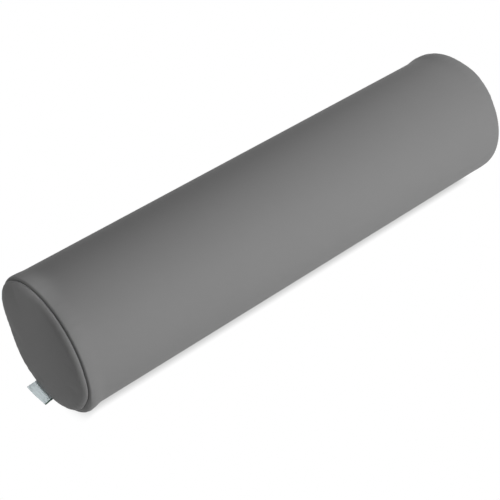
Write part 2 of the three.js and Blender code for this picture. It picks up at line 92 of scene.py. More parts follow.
class BolsterRoll(bpy.types.PropertyGroup):
    diameter: length("Diameter", "Across the covered roll", 0.150)
    length: length("Length", "Over both crowned ends", 0.600)
    rest_flat: length("Rest flat", "How far the floor presses the roll in", 0.0005)
    skin: length("Skin", "Leatherette with its knitted backing", 0.00115)
    gap: length("Gap", "Between pieces that touch", 0.0003)
    hem_depth: length("Hem depth", "Of two folded layers", 0.0024)
    seam_depth: length("Seam depth", "From the barrel down to an end seam's edges", 0.0022)
    seam_allowance: length("Seam allowance", "Turned in behind every end seam", 0.012)
    edge_step: length("Edge step", "Steep part of the barrel's edge at an end seam", 0.0021)
    edge_round: length("Edge round", "Length over which that step turns", 0.00035)
    edge_rise: length("Edge rise", "Length over which the barrel rises past that step", 0.0030)
    groove: length("Groove", "How deep the stitches draw an end seam in between its edges", 0.002)
    groove_width: length("Groove width", "Of that narrow groove, on each side", 0.0004)
    shoulder: length("Shoulder", "How far in from an end seam the layers lie flat", 0.0052)
    rim_band: length("Rim band", "Length of the barrel that the turned-in allowances shape", 0.0235)
    near_level: length("Near level", "Length of the barrel that is lifted in full at its near end", 0.0052)
    far_level: length("Far level", "Length of the barrel that is lifted in full at its far end", 0.0097)
    level_fall: length("Level fall", "Length over which that lift ends", 0.0138)
    near_lift: length("Near rim lift", "Of the barrel at the near end seam", 0.0007)
    near_swing: length("Near rim swing", "How much more the near rim is lifted on one side", 0.0018)
    near_swing_place: angle("Near swing place", "Side of the near rim that is fullest", 219)
    near_swing_half: angle("Near swing half", "Half of the angle that this fuller side spans", 65)
    near_flat: length("Near flat", "How far one stretch of the near end's edge is flattened", 0.0027)
    near_flat_place: angle("Near flat place", "Middle of that stretch, from +Y towards +Z", 343)
    near_flat_half: angle("Near flat half", "Half of the angle that it spans", 42)
    near_corner: length("Near corner", "How full that edge is beside the flattened stretch", 0.0008)
    near_corner_place: angle("Near corner place", "Middle of the full stretch", 38)
    near_corner_half: angle("Near corner half", "Half of the angle that it spans", 20)
    near_bulge: length("Near bulge", "How much further out one stretch of the near seam lies", 0.0011)
    near_bulge_place: angle("Near bulge place", "Middle of that stretch", 181)
    near_bulge_half: angle("Near bulge half", "Half of the angle that it spans", 17)
    far_flat: length("Far flat", "How far one stretch of the far end's edge is flattened", 0.0022)
    far_flat_place: angle("Far flat place", "Middle of that stretch", 162)
    far_flat_half: angle("Far flat half", "Half of the angle that it spans", 34)
    far_corner: length("Far corner", "How full that edge is beside the flattened stretch", 0.0006)
    far_corner_place: angle("Far corner place", "Middle of the full stretch", 110)
    far_corner_half: angle("Far corner half", "Half of the angle that it spans", 16)
    near_draw: length("Near seam draw", "How much deeper one stretch of the near seam lies", 0.0013)
    near_draw_step: length("Near draw step", "How much higher the edge stands there", 0.0019)
    near_draw_round: length("Near draw round", "How much rounder the edge is there", 0.0014)
    near_draw_rise: length("Near draw rise", "How much sooner the barrel rises there", 0.0015)
    near_draw_start: angle("Near draw start", "Where that stretch begins", 192)
    near_draw_end: angle("Near draw end", "Where that stretch ends", 257)
    near_draw_ramp: angle("Near draw ramp", "Over which the seam goes deeper", 11)
    far_sink: length("Far sink", "How much deeper the far seam lies than the near one", 0.0005)
    far_lift: length("Far rim lift", "Of the barrel at the far end seam", 0.0003)
    far_swing: length("Far rim swing", "How much more the far rim is lifted on one side", 0.0017)
    far_swing_place: angle("Far swing place", "Side of the far rim that is fullest", 43)
    far_swing_half: angle("Far swing half", "Half of the angle that this fuller side spans", 75)
    end_crown: length("End crown", "How far an end stands past its seam", 0.0075)
    end_edge: length("End edge", "Roundness of an end's edge, along its face", 0.010)
    end_swell: length("End swell", "How much fuller than an arc that edge is", 0.0004)
    face_crown: length("Face crown", "Of the flat part of an end", 0.001)
    pucker: length("Pucker", "Height of the small creases beside an end seam", 0.00016)


class BolsterZip(bpy.types.PropertyGroup):
    turn: angle("Zip angle", "Of the zip, from +Y towards +Z", 12)
    opening_inset: length("Opening inset", "From each end seam to the tip of the opening", 0.046)
    opening_width: length("Opening width", "Between the folded edges", 0.012)
    opening_tip: length("Opening tip", "Over which the folded edges close at each tip", 0.014)
    fold_allowance: length("Fold allowance", "Folded under beside the opening", 0.010)
    in_teeth: length("In teeth", "From the zip's middle to a tape's edge in its teeth", 0.00245)
    tape_width: length("Tape width", "From a tape's sewn edge to its edge in the teeth", 0.013)
    tape_thickness: length("Tape thickness", "Of the woven tape", 0.0005)
    tape_rib: length("Tape rib", "How far every other row of the weave stands up", 0.00007)
    tape_overrun: length("Tape overrun", "Past each tip of the opening", 0.009)
    stitch_offset: length("Stitch offset", "Of the topstitching from the zip's middle", 0.0098)
    stitch_pitch: length("Stitch pitch", "From one stitch to the next", 0.0034)
    stitch_length: length("Stitch length", "Of thread that shows", 0.0027)
    thread: length("Thread", "Thickness of the sewing thread", 0.00055)
    stitch_dent: length("Stitch dent", "How deep the stitches draw the skin in", 0.00025)


class BolsterLabel(bpy.types.PropertyGroup):
    place: angle("Label place", "On the near rim, from +Y towards +Z", 277.4)
    width: length("Label width", "Along the rim", 0.029)
    reach: length("Label reach", "Out of the seam", 0.015)
    droop: length("Label droop", "Of its outer edge", 0.0022)
    curl: length("Label curl", "Up and down along its outer edge", 0.0004)
    skew: length("Label skew", "How much less it reaches at the side nearer the floor", 0.0026)
    ribbon: length("Ribbon", "Thickness of the woven ribbon", 0.0003)
    fold: length("Fold", "Open room inside the fold", 0.00035)
    edge_band: length("Edge band", "Width of the dark band along one short edge", 0.0012)


class BolsterFinishes(bpy.types.PropertyGroup):
    leatherette: colour("Leatherette", "Grey coated skin", "818181")
    foam: colour("Foam", "Cut polyurethane foam", "e4dabd")
    tape: colour("Zip tape", "Dyed polyester tape", "77787a")
    teeth: colour("Zip teeth", "Moulded acetal teeth", "6c6d70")
    zinc: colour("Zip slider", "Cast and plated zinc", "9c9ea3")
    thread: colour("Thread", "Polyester sewing thread", "8e8e8e")
    ribbon: colour("Label", "Woven satin ribbon", "cfdadd")
    ribbon_band: colour("Label band", "Dark thread along the ribbon's edge", "12402c")


class BolsterStage(bpy.types.PropertyGroup):
    azimuth: angle("Azimuth", "Of the camera round the roll", -40.67)
    elevation: angle("Elevation", "Of the camera above the horizon", 42.13)
    distance: length("Distance", "From the camera to the point that it looks at", 1.343)
    look_along: length("Look along", "Place on the roll's axis that the camera looks at", -0.0292)
    lens: FloatProperty(name="Lens", description="Focal length in millimetres", default=89.5)
    shift_across: FloatProperty(name="Shift across", description="Of the view", default=0.0014)
    shift_up: FloatProperty(name="Shift up", description="Of the view", default=-0.0436)
    floor_size: length("Floor", "Side of the pale floor", 12.0)
    shadow_reach: length("Shadow reach", "How close over the floor the roll darkens it", 0.0138)
    shadow_near: length("Shadow near", "Where the shadow begins along the roll", -0.297)
    shadow_far: length("Shadow far", "Where the shadow ends along the roll", 0.297)
    shadow_fade: length("Shadow fade", "Length over which it begins and ends", 0.03)
    room_light: FloatProperty(name="Room light", description="From all round", default=0.28)
    front_light: FloatProperty(name="Front lamp", description="Power in watts", default=27.4)
    front_place: place_in_room("Front lamp place", (0.45, -1.75, 1.2))
    front_size: length("Front lamp size", "Across", 1.2)
    low_light: FloatProperty(name="Low lamp", description="Power in watts", default=5.4)
    low_place: place_in_room("Low lamp place", (0.45, -2.1, 0.35))
    low_size: length("Low lamp size", "Across", 0.6)
    back_light: FloatProperty(name="Back lamp", description="Power in watts", default=1.7)
    back_place: place_in_room("Back lamp place", (0.75, 0.3, 0.6))
    back_size: length("Back lamp size", "Across", 0.6)
    label_light: FloatProperty(name="Label lamp", description="Power in watts", default=8.5)
    label_lamp_place: place_in_room("Label lamp place", (-0.345, 0.008, 0.6))
    label_lamp_aim: place_in_room("Label lamp aim", (-0.306, 0.008, 0.0))
    label_lamp_size: length("Label lamp size", "Radius", 0.03)
    label_lamp_cone: angle("Label lamp cone", "Of its light", 6.5)


# Places on the roll

def axis_height(roll):
    return roll.diameter / 2 - roll.rest_flat


def axis_at(roll, x=0):
    """The point of the roll's axis at a place along it."""
    return Vector((x, 0, axis_height(roll)))


def cover_radius(roll):
    return roll.diameter / 2


def seam_radius(roll):
    return cover_radius(roll) - roll.seam_depth


def seam_half(roll):
    return roll.length / 2 - roll.end_crown


def smooth(share):
    share = min(1.0, max(0.0, share))
    return share * share * (3 - 2 * share)


def drawn_share(roll, side, turn):
    """1 along the stretch of the near seam that is drawn in deeper, 0 elsewhere."""
    whole_turn = 2 * math.pi
    past = (turn - roll.near_draw_start) % whole_turn
    left = (roll.near_draw_end - turn) % whole_turn
    if side == FAR or past > roll.near_draw_end - roll.near_draw_start:
        return 0.0
    return smooth(past / roll.near_draw_ramp) * smooth(left / roll.near_draw_ramp)


def mound(turn, middle, half):
    """1 at an angle round the roll, and falls smoothly to 0 at half an angle on both sides."""
    off = (turn - middle + math.pi) % (2 * math.pi) - math.pi
    return smooth(1 - abs(off) / half)


def seam_at(roll, side, turn):
    """Radius of the cover where an end meets the barrel, above the seam's groove."""
    if side == FAR:
        return seam_radius(roll) - roll.far_sink
    bulge = roll.near_bulge * mound(turn, roll.near_bulge_place, roll.near_bulge_half)
    return seam_radius(roll) + bulge - roll.near_draw * drawn_share(roll, side, turn)


def edge_unevenness(roll, side, turn):
    """How much fuller than even the edge of an end is, as both are a little out of round."""
    if side == FAR:
        flat = roll.far_flat * mound(turn, roll.far_flat_place, roll.far_flat_half)
        return roll.far_corner * mound(turn, roll.far_corner_place, roll.far_corner_half) - flat
    flat = roll.near_flat * mound(turn, roll.near_flat_place, roll.near_flat_half)
    return roll.near_corner * mound(turn, roll.near_corner_place, roll.near_corner_half) - flat


def uneven_edge(roll, side, turn, radius, out):
    """Radius of a point of an end and its distance out past the seam, on that uneven edge."""
    rise = roll.end_crown - roll.face_crown
    middle = (seam_radius(roll) - roll.gap - roll.end_edge) / 2
    share = smooth(2 * out / rise) * smooth((radius - middle) / middle)
    uneven = edge_unevenness(roll, side, turn) * share
    return radius + uneven, out + uneven / 2


def rim_lift(roll, side, turn):
    """How far the layers behind an end seam lift the barrel, at an angle from +Y towards +Z."""
    uneven = edge_unevenness(roll, side, turn) / 2
    if side == FAR:
        fuller_share = mound(turn, roll.far_swing_place, roll.far_swing_half)
        return roll.far_lift + roll.far_swing * fuller_share + uneven
    fuller_share = mound(turn, roll.near_swing_place, roll.near_swing_half)
    return roll.near_lift + roll.near_swing * fuller_share + uneven


def barrel_radius(roll, side, inset, turn):
    """Radius of the barrel's outer face at a distance in from its end seam."""
    lift = rim_lift(roll, side, turn)
    seam = seam_at(roll, side, turn)
    drawn = drawn_share(roll, side, turn)
    step = roll.edge_step + roll.near_draw_step * drawn
    edge_round = roll.edge_round + roll.near_draw_round * drawn
    rise = step * (1 - math.exp(-inset / edge_round))
    rest = cover_radius(roll) + lift - seam - step
    rise_length = roll.edge_rise - roll.near_draw_rise * drawn
    rise += rest * (1 - math.exp(-inset / rise_length))
    level = roll.near_level if side == NEAR else roll.far_level
    past_share = (inset - level) / roll.level_fall
    return seam + rise - lift * smooth(past_share) - groove_depth(roll, inset)


def groove_depth(roll, beside):
    """Depth of the end seam's narrow groove at a distance beside the stitches."""
    return roll.groove * math.exp(-beside / roll.groove_width)


def turn_of(point, roll):
    """Angle of a point round the roll, from +Y towards +Z."""
    return math.atan2(point.z - axis_height(roll), point.y)


def radius_of(point, roll):
    return math.hypot(point.y, point.z - axis_height(roll))


def on_ring(roll, x, radius, turn):
    return Vector((x, radius * math.cos(turn), axis_height(roll) + radius * math.sin(turn)))


def raised(roll, point, height):
    """The point, moved this far away from the roll's axis."""
    return on_ring(roll, point.x, radius_of(point, roll) + height, turn_of(point, roll))


# Modelling by hand

def deselect_all():
    if bpy.context.mode != "OBJECT":
        bpy.ops.object.mode_set(mode="OBJECT")
    bpy.ops.object.select_all(action="DESELECT")


def start_piece(name):
    """Names the primitive that was just added, and moves its place and turn into its mesh."""
    bpy.ops.object.transform_apply(location=True, rotation=True, scale=True)
    piece = bpy.context.object
    piece.name = name
    piece.data.name = name
    return piece


def select_only(piece):
    deselect_all()
    bpy.context.view_layer.objects.active = piece
    piece.select_set(True)


def edit(piece):
    select_only(piece)
    bpy.ops.object.mode_set(mode="EDIT")
    bpy.ops.mesh.select_all(action="DESELECT")


def stop_editing():
    bpy.ops.object.mode_set(mode="OBJECT")


def pick(piece, kind, wanted):
    """Selects the piece's points, edges or faces for which wanted says yes, and no others."""
    bpy.ops.mesh.select_mode(type=kind)
    bpy.ops.mesh.select_all(action="DESELECT")
    mesh = bmesh.from_edit_mesh(piece.data)
    parts = {"VERT": mesh.verts, "EDGE": mesh.edges, "FACE": mesh.faces}[kind]
    for part in parts:
        if wanted(part):
            part.select_set(True)
    bmesh.update_edit_mesh(piece.data)


def move_picked(piece, place):
    """Moves each selected point to where place says."""
    mesh = bmesh.from_edit_mesh(piece.data)
    for point in mesh.verts:
        if point.select:
            point.co = place(point.co.copy())
    bmesh.update_edit_mesh(piece.data)


def extrude_picked(piece, place):
    """Extrudes the selected open edges and puts the new points where place says."""
    bpy.ops.mesh.extrude_edges_move(TRANSFORM_OT_translate={"value": (0, 0, 0)})
    move_picked(piece, place)


def extrude_ring(piece, roll, x, radius_at, lowest=-math.inf):
    """Extrudes them to a ring round the roll, of the radius that radius_at gives for each angle."""
    def place(co):
        turn = turn_of(co, roll)
        point = on_ring(roll, x, radius_at(turn), turn)
        return Vector((x, point.y, max(point.z, lowest)))
    extrude_picked(piece, place)


def pick_open_end(piece, side, beyond):
    """Selects the open edges that lie beyond a place along the roll, on one side."""
    pick(piece, "EDGE", lambda edge: edge.is_boundary and all(
        side * v.co.x > beyond for v in edge.verts))


def straight_tube(roll, name, columns, rows, depth):
    """A tube between the roll's two shaped bands, this deep in the cover, open for editing."""
    deselect_all()
    straight = seam_half(roll) - roll.rim_band
    bpy.ops.mesh.primitive_cylinder_add(
        vertices=columns, radius=cover_radius(roll) - depth, depth=2 * straight,
        end_fill_type="NOTHING", location=(0, 0, axis_height(roll)), rotation=(0, math.pi / 2, 0))
    piece = start_piece(name)
    edit(piece)
    pick(piece, "EDGE", lambda edge: abs(edge.verts[0].co.x - edge.verts[1].co.x) > straight)
    bpy.ops.mesh.subdivide(number_cuts=rows - 1)
    return piece


def share_grid(name, steps, rows):
    """A flat grid whose points are shares, from 0 to 1, of a sheet's two sides."""
    deselect_all()
    whole = 1
    bpy.ops.mesh.primitive_grid_add(
        x_subdivisions=steps, y_subdivisions=rows, size=whole, location=(whole / 2, whole / 2, 0))
    return start_piece(name)


def move_points(piece, place):
    """Moves every point to where place says."""
    for point in piece.data.vertices:
        point.co = place(point.co.copy())
    piece.data.update()


def apply_modifier(piece, kind, **settings):
    select_only(piece)
    modifier = piece.modifiers.new(kind.lower(), kind)
    for name, value in settings.items():
        setattr(modifier, name, value)
    bpy.ops.object.modifier_apply(modifier=modifier.name)


def subdivide_smoothly(piece):
    apply_modifier(piece, "SUBSURF", levels=1, render_levels=1)


def face_outwards(piece, is_outside):
    """Turns all faces over if most of them look inwards."""
    votes = sum(1 if is_outside(face.center, face.normal) else -1 for face in piece.data.polygons)
    if votes < 0:
        edit(piece)
        bpy.ops.mesh.select_all(action="SELECT")
        bpy.ops.mesh.flip_normals()
        stop_editing()


def shade_smooth(piece, degrees=40):
    select_only(piece)
    bpy.ops.object.shade_smooth_by_angle(angle=math.radians(degrees))


def finish_piece(piece, finish, body, slot, *nodes):
    piece.data.materials.clear()
    piece.data.materials.append(finish)
    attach(piece, body)
    if nodes:
        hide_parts(*nodes)


def inflate(piece, pinned_share, pressure, most):
    """Sews the cover on tight: simulates it as cloth under pressure, held where pinned_share
    says, and lets no point move further than most."""
    before = [point.co.copy() for point in piece.data.vertices]
    pins = piece.vertex_groups.new(name="sewn")
    for point in piece.data.vertices:
        pins.add([point.index], pinned_share(point.co), "REPLACE")
    cloth = piece.modifiers.new("cloth", "CLOTH")
    cloth.settings.quality = 6
    cloth.settings.mass = 0.3
    cloth.settings.tension_stiffness = 60
    cloth.settings.compression_stiffness = 60
    cloth.settings.shear_stiffness = 30
    cloth.settings.bending_stiffness = 4
    cloth.settings.use_pressure = True
    cloth.settings.uniform_pressure_force = pressure
    cloth.settings.effector_weights.gravity = 0
    cloth.settings.vertex_group_mass = "sewn"
    cloth.collision_settings.use_collision = False
    first_frame = 1
    last_frame = 20
    for number in range(first_frame, last_frame + 1):
        bpy.context.scene.frame_set(number)
    select_only(piece)
    bpy.ops.object.modifier_apply(modifier="cloth")
    bpy.context.scene.frame_set(first_frame)
    piece.vertex_groups.remove(piece.vertex_groups["sewn"])
    for point, old in zip(piece.data.vertices, before):
        moved = point.co - old
        far = moved.length
        if far > 0:
            point.co = old + moved * (most * math.tanh(far / most) / far)
    piece.data.update()


def pucker_waves(seed):
    """A height round a seam, from about -1 to 1, that repeats after a whole turn."""
    draw = random.Random(seed)
    fewest = 26
    most = 62
    step = 5
    least_share = 0.4
    waves = []
    for base in range(fewest, most, step):
        count = base + draw.randrange(step)
        start = draw.random() * 2 * math.pi
        waves.append((count, start, least_share + (1 - least_share) * draw.random()))
    total = math.sqrt(sum(high * high for _, _, high in waves) / 2) * 2

    def height(turn):
        return sum(high * math.sin(count * turn + start) for count, start, high in waves) / total
    return height


# The barrel of the cover

BARREL_COLUMNS = 120
BARREL_ROWS = 54
RIM_INSETS = (
    0.019, 0.0155, 0.012, 0.0085, 0.0055, 0.0035, 0.0022, 0.0014, 0.0009, 0.0005, 0.0002, 0)
FOLD_TURNS = (30, 60, 90, 120, 150, 180)


def zip_across_axis(zip_sizes):
    """The direction down the back, across the zip."""
    return Vector((0, math.sin(zip_sizes.turn), -math.cos(zip_sizes.turn)))


def zip_out_axis(zip_sizes):
    """The direction out of the cover at the zip."""
    return Vector((0, math.cos(zip_sizes.turn), math.sin(zip_sizes.turn)))


def zip_place(roll, zip_sizes, point):
    """(along the roll, across the zip, out of the axis) of a point."""
    from_axis = point - axis_at(roll)
    return point.x, from_axis.dot(zip_across_axis(zip_sizes)), from_axis.dot(zip_out_axis(zip_sizes))


def from_zip_place(roll, zip_sizes, along, across, radius):
    """The point at a radius, this far across the zip."""
    out = math.sqrt(radius * radius - across * across)
    return axis_at(roll, along) + zip_across_axis(zip_sizes) * across + zip_out_axis(zip_sizes) * out


def opening_half(roll, zip_sizes):
    return seam_half(roll) - zip_sizes.opening_inset


def barrel_tube(roll):
    """The barrel's outer face, from seam to seam: a tube whose ends are extruded and drawn in."""
    half = seam_half(roll)
    piece = straight_tube(roll, "barrel_leatherette", BARREL_COLUMNS, BARREL_ROWS, 0)
    for side in (NEAR, FAR):
        pick_open_end(piece, side, 0)
        for inset in RIM_INSETS:
            extrude_ring(piece, roll, side * (half - inset),
                         lambda turn: barrel_radius(roll, side, inset, turn))
    stop_editing()
    face_outwards(piece, lambda centre, normal: normal.dot(centre - axis_at(roll, centre.x)) > 0)
    return piece


def sew_barrel_tight(piece, roll, zip_sizes):
    half = seam_half(roll)
    stiff = zip_sizes.opening_width / 2 + zip_sizes.fold_allowance
    pressure = 1.5
    swell = 0.0005

    def pinned(co):
        inset = half - abs(co.x)
        _, across, out = zip_place(roll, zip_sizes, co)
        beside_zip = out > 0 and abs(across) < stiff
        return 1.0 if inset < roll.edge_rise or beside_zip else 0.0
    inflate(piece, pinned, pressure, swell)


def draw_in_rims(piece, roll):
    """Small creases beside both end seams, where the seam gathers the skin."""
    half = seam_half(roll)
    waves = {NEAR: pucker_waves(3), FAR: pucker_waves(8)}
    fade_length = roll.rim_band - roll.shoulder

    def place(co):
        inset = half - abs(co.x)
        if inset > roll.rim_band or inset < TOUCH:
            return co
        side = NEAR if co.x < 0 else FAR
        share = smooth(inset / roll.shoulder) * (1 - smooth((inset - roll.shoulder) / fade_length))
        return raised(roll, co, roll.pucker * waves[side](turn_of(co, roll)) * share)
    move_points(piece, place)


def press_on_floor(piece, depth):
    """Presses a piece flat where it would reach lower than this depth above the floor."""
    def place(co):
        return Vector((co.x, co.y, max(co.z, depth)))
    move_points(piece, place)


def opening_edge(roll, zip_sizes, spread):
    """(x where the edges begin to close, x of the tip, half width) of the opening's outline
    when it is this much wider on each side."""
    half = opening_half(roll, zip_sizes)
    straight = half - zip_sizes.opening_tip
    width = zip_sizes.opening_width / 2
    along_tip = math.hypot(zip_sizes.opening_tip, width) / width
    return straight, half + spread * along_tip, width + spread


def cut_opening(piece, roll, zip_sizes, fold):
    """Cuts the zip's opening out of the barrel, wider by the roundness of its folded edges."""
    straight, tip, width = opening_edge(roll, zip_sizes, fold)
    margin = 3 * fold
    middle = axis_at(roll)
    across_axis = zip_across_axis(zip_sizes)

    def near_opening(face):
        along, across, out = zip_place(roll, zip_sizes, face.calc_center_median())
        return out > 0 and abs(across) < width + margin and abs(along) < tip + margin

    planes = [(middle + across_axis * width, across_axis), (middle - across_axis * width, across_axis)]
    for side in (NEAR, FAR):
        planes.append((ALONG * side * straight, ALONG))
        planes.append((ALONG * side * tip, ALONG))
        for way in (-1, 1):
            along_edge = ALONG * side * (tip - straight) - across_axis * way * width
            corner = middle + across_axis * way * width + ALONG * side * straight
            across_edge = along_edge.cross(zip_out_axis(zip_sizes)).normalized()
            planes.append((corner, across_edge))
    for point, normal in planes:
        pick(piece, "FACE", near_opening)
        bpy.ops.mesh.bisect(plane_co=point, plane_no=normal)

    def inside(face):
        along, across, out = zip_place(roll, zip_sizes, face.calc_center_median())
        closing_share = min(1.0, (tip - abs(along)) / (tip - straight))
        return out > 0 and abs(along) < tip and abs(across) < width * closing_share
    pick(piece, "FACE", inside)
    bpy.ops.mesh.delete(type="FACE")


def fold_opening(piece, roll, zip_sizes):
    """Turns the edges of the opening under, round a fold, and back beneath the skin."""
    fold = roll.hem_depth / 2
    cut_opening(piece, roll, zip_sizes, fold)
    limit = opening_half(roll, zip_sizes) + 4 * fold
    pick(piece, "EDGE", lambda edge: edge.is_boundary and all(abs(v.co.x) < limit for v in edge.verts))
    spread = fold
    for turn in FOLD_TURNS:
        new_spread = fold * (1 - math.sin(math.radians(turn)))
        depth = fold * (1 - math.cos(math.radians(turn)))
        extrude_picked(piece, lambda co: fold_point(roll, zip_sizes, co, spread, new_spread, depth))
        spread = new_spread
    last_spread = spread + zip_sizes.fold_allowance
    extrude_picked(piece, lambda co: fold_point(roll, zip_sizes, co, spread, last_spread, roll.hem_depth))


def fold_point(roll, zip_sizes, co, spread, new_spread, depth):
    """Moves a point of the opening's outline from one spread to another, and down to a depth."""
    along, across, _ = zip_place(roll, zip_sizes, co)
    straight, tip, width = opening_edge(roll, zip_sizes, spread)
    _, new_tip, new_width = opening_edge(roll, zip_sizes, new_spread)
    new_along = along
    if abs(along) > straight:
        share = (abs(along) - straight) / (tip - straight)
        new_along = math.copysign(straight + share * (new_tip - straight), along)
    new_across = across * new_width / width
    return from_zip_place(roll, zip_sizes, new_along, new_across, cover_radius(roll) - depth)


def close_seam(piece, roll, zip_sizes):
    """The lengthwise seam beyond the opening: a narrow groove between two folded edges."""
    fold = roll.hem_depth / 2
    _, tip, _ = opening_edge(roll, zip_sizes, fold)
    end = seam_half(roll)
    middle = axis_at(roll)
    across_axis = zip_across_axis(zip_sizes)

    def is_beyond(point, reach):
        along, across, out = zip_place(roll, zip_sizes, point)
        return out > 0 and abs(across) < reach and tip < abs(along) < end - TOUCH
    for offset in (-fold, -fold / 2, fold / 2, fold):
        pick(piece, "FACE", lambda face: is_beyond(face.calc_center_median(), 4 * fold))
        bpy.ops.mesh.bisect(plane_co=middle + across_axis * offset, plane_no=across_axis)
    groove_share = 0.9
    pick(piece, "VERT", lambda vert: is_beyond(vert.co, fold * groove_share))

    def place(co):
        along, across, _ = zip_place(roll, zip_sizes, co)
        share = smooth((abs(along) - tip) / (3 * fold)) * smooth((end - abs(along)) / fold)
        depth = share * fold * (1 - math.sqrt(abs(across) / fold))
        return raised(roll, co, -depth)
    move_picked(piece, place)


def dent_stitch_lines(piece, roll, zip_sizes):
    """Draws the skin in along both lines of topstitching."""
    limit = opening_half(roll, zip_sizes) + zip_sizes.tape_overrun
    near_line = 0.0004

    def on_line(vert):
        along, across, out = zip_place(roll, zip_sizes, vert.co)
        off_line = abs(abs(across) - zip_sizes.stitch_offset)
        return out > 0 and off_line < near_line and abs(along) < limit
    pick(piece, "VERT", on_line)
    move_picked(piece, lambda co: raised(roll, co, -zip_sizes.stitch_dent))


def turn_in(piece, roll, side, behind):
    """Turns the selected open edge in at an end seam, this far behind the barrel's own allowance."""
    half = seam_half(roll)
    depth = roll.hem_depth + behind
    extrude_ring(piece, roll, side * (half - depth), lambda turn: seam_at(roll, side, turn) - behind,
                 depth)
    for inset in (roll.shoulder, roll.seam_allowance):
        extrude_ring(piece, roll, side * (half - inset),
                     lambda turn: barrel_radius(roll, side, inset, turn) - depth, depth)


class BOLSTER_OT_barrel(bpy.types.Operator):
    """Adds the barrel of the cover: one sheet, folded in at its ends and at the zip's opening"""
    bl_idname = "bolster.barrel"
    bl_label = "Barrel of the cover"

    def execute(self, context):
        roll = context.scene.bolster_roll
        zip_sizes = context.scene.bolster_zip
        piece = barrel_tube(roll)
        sew_barrel_tight(piece, roll, zip_sizes)
        subdivide_smoothly(piece)
        draw_in_rims(piece, roll)
        press_on_floor(piece, 0)
        edit(piece)
        dent_stitch_lines(piece, roll, zip_sizes)
        fold_opening(piece, roll, zip_sizes)
        close_seam(piece, roll, zip_sizes)
        for side in (NEAR, FAR):
            pick_open_end(piece, side, seam_half(roll) - TOUCH)
            turn_in(piece, roll, side, 0)
        stop_editing()
        apply_modifier(piece, "SOLIDIFY", thickness=roll.skin, offset=-1)
        shade_smooth(piece)
        finish_piece(piece, leatherette(context), "bolster", "leatherette", "barrel_cover")
        return {"FINISHED"}


# The two ends of the cover

END_COLUMNS = 96
FACE_RING_SHARES = (0.92, 0.8, 0.66, 0.52, 0.38, 0.25, 0.13)
EDGE_TURNS = (88, 85, 81, 75, 64, 50, 34, 17, 0)


def end_rings(roll):
    """(radius, distance out past the seam) of each ring of an end's face, from its seam inwards."""
    face = seam_radius(roll) - roll.gap - roll.end_edge
    rise = roll.end_crown - roll.face_crown
    rings = []
    for degrees in EDGE_TURNS:
        turn = math.radians(degrees)
        out = rise * math.cos(turn)
        swell = roll.end_swell * math.sin(2 * turn) - groove_depth(roll, out)
        rings.append((face + roll.end_edge * math.sin(turn) + swell, out))
    for share in FACE_RING_SHARES:
        rings.append((face * share, rise + roll.face_crown * (1 - share * share)))
    return rings


def end_panel(roll, side, name):
    """An end's outer face: a round panel that is inset ring by ring and raised to its crown."""
    deselect_all()
    half = seam_half(roll)
    rim = seam_radius(roll) - roll.gap
    face = rim - roll.end_edge
    inset_step = 0.001
    bpy.ops.mesh.primitive_circle_add(
        vertices=END_COLUMNS, radius=rim, fill_type="NGON",
        location=(side * half, 0, axis_height(roll)), rotation=(0, math.pi / 2, 0))
    piece = start_piece(name)
    edit(piece)

    def drawn(radius, turn):
        """The radius where the seam is drawn in, which the face isn't."""
        share = smooth((radius - face) / roll.end_edge)
        return radius - (seam_radius(roll) - seam_at(roll, side, turn)) * share

    def seam_place(co):
        turn = turn_of(co, roll)
        return on_ring(roll, co.x, drawn(rim, turn) - roll.groove, turn)
    bpy.ops.mesh.select_mode(type="VERT")
    bpy.ops.mesh.select_all(action="SELECT")
    move_picked(piece, seam_place)
    bpy.ops.mesh.select_mode(type="FACE")
    for ring_radius, ring_out in end_rings(roll):
        def place(co):
            turn = turn_of(co, roll)
            radius, out = uneven_edge(roll, side, turn, drawn(ring_radius, turn), ring_out)
            return on_ring(roll, side * (half + out), radius, turn)
        bpy.ops.mesh.inset(thickness=inset_step)
        move_picked(piece, place)
    bpy.ops.mesh.poke(offset=0)
    stop_editing()
    face_outwards(piece, lambda centre, normal: side * normal.x > 0)
    return piece


def sew_end_tight(piece, roll):
    half = seam_half(roll)
    pressure = 3.0
    swell = 0.0008

    def pinned(co):
        return 1.0 if abs(co.x) < half + roll.gap else 0.0
    inflate(piece, pinned, pressure, swell)


def draw_in_edge(piece, roll, side):
    """Small creases on the round edge of an end."""
    wave = pucker_waves(5 if side == NEAR else 6)
    rim = seam_radius(roll) - roll.gap
    grown_share = 1 / 3
    faded_share = 1.5
    height_share = 1.5
    height = height_share * roll.pucker

    def place(co):
        past_share = (rim - radius_of(co, roll)) / roll.end_edge
        share = smooth(past_share / grown_share) * (1 - smooth(past_share / faded_share))
        return co + ALONG * side * height * wave(turn_of(co, roll)) * share
    move_points(piece, place)


class BOLSTER_OT_ends(bpy.types.Operator):
    """Adds the two round ends of the cover, each one sheet with its allowance turned in"""
    bl_idname = "bolster.ends"
    bl_label = "Ends of the cover"

    def execute(self, context):
        roll = context.scene.bolster_roll
        for side, word in ((NEAR, "near"), (FAR, "far")):
            piece = end_panel(roll, side, word + "_end_leatherette")
            sew_end_tight(piece, roll)
            subdivide_smoothly(piece)
            draw_in_edge(piece, roll, side)
            press_on_floor(piece, 0)
            edit(piece)
            pick_open_end(piece, side, 0)
            turn_in(piece, roll, side, roll.gap)
            stop_editing()
            apply_modifier(piece, "SOLIDIFY", thickness=roll.skin, offset=-1)
            shade_smooth(piece)
            finish_piece(piece, leatherette(context), "bolster", "leatherette", word + "_end_cover")
        return {"FINISHED"}


# The foam roll inside

FOAM_COLUMNS = 120
FOAM_ROWS = 60
FOAM_EDGE_TURNS = (75, 50, 25, 0)
FOAM_RING_SHARES = (0.66, 0.33)


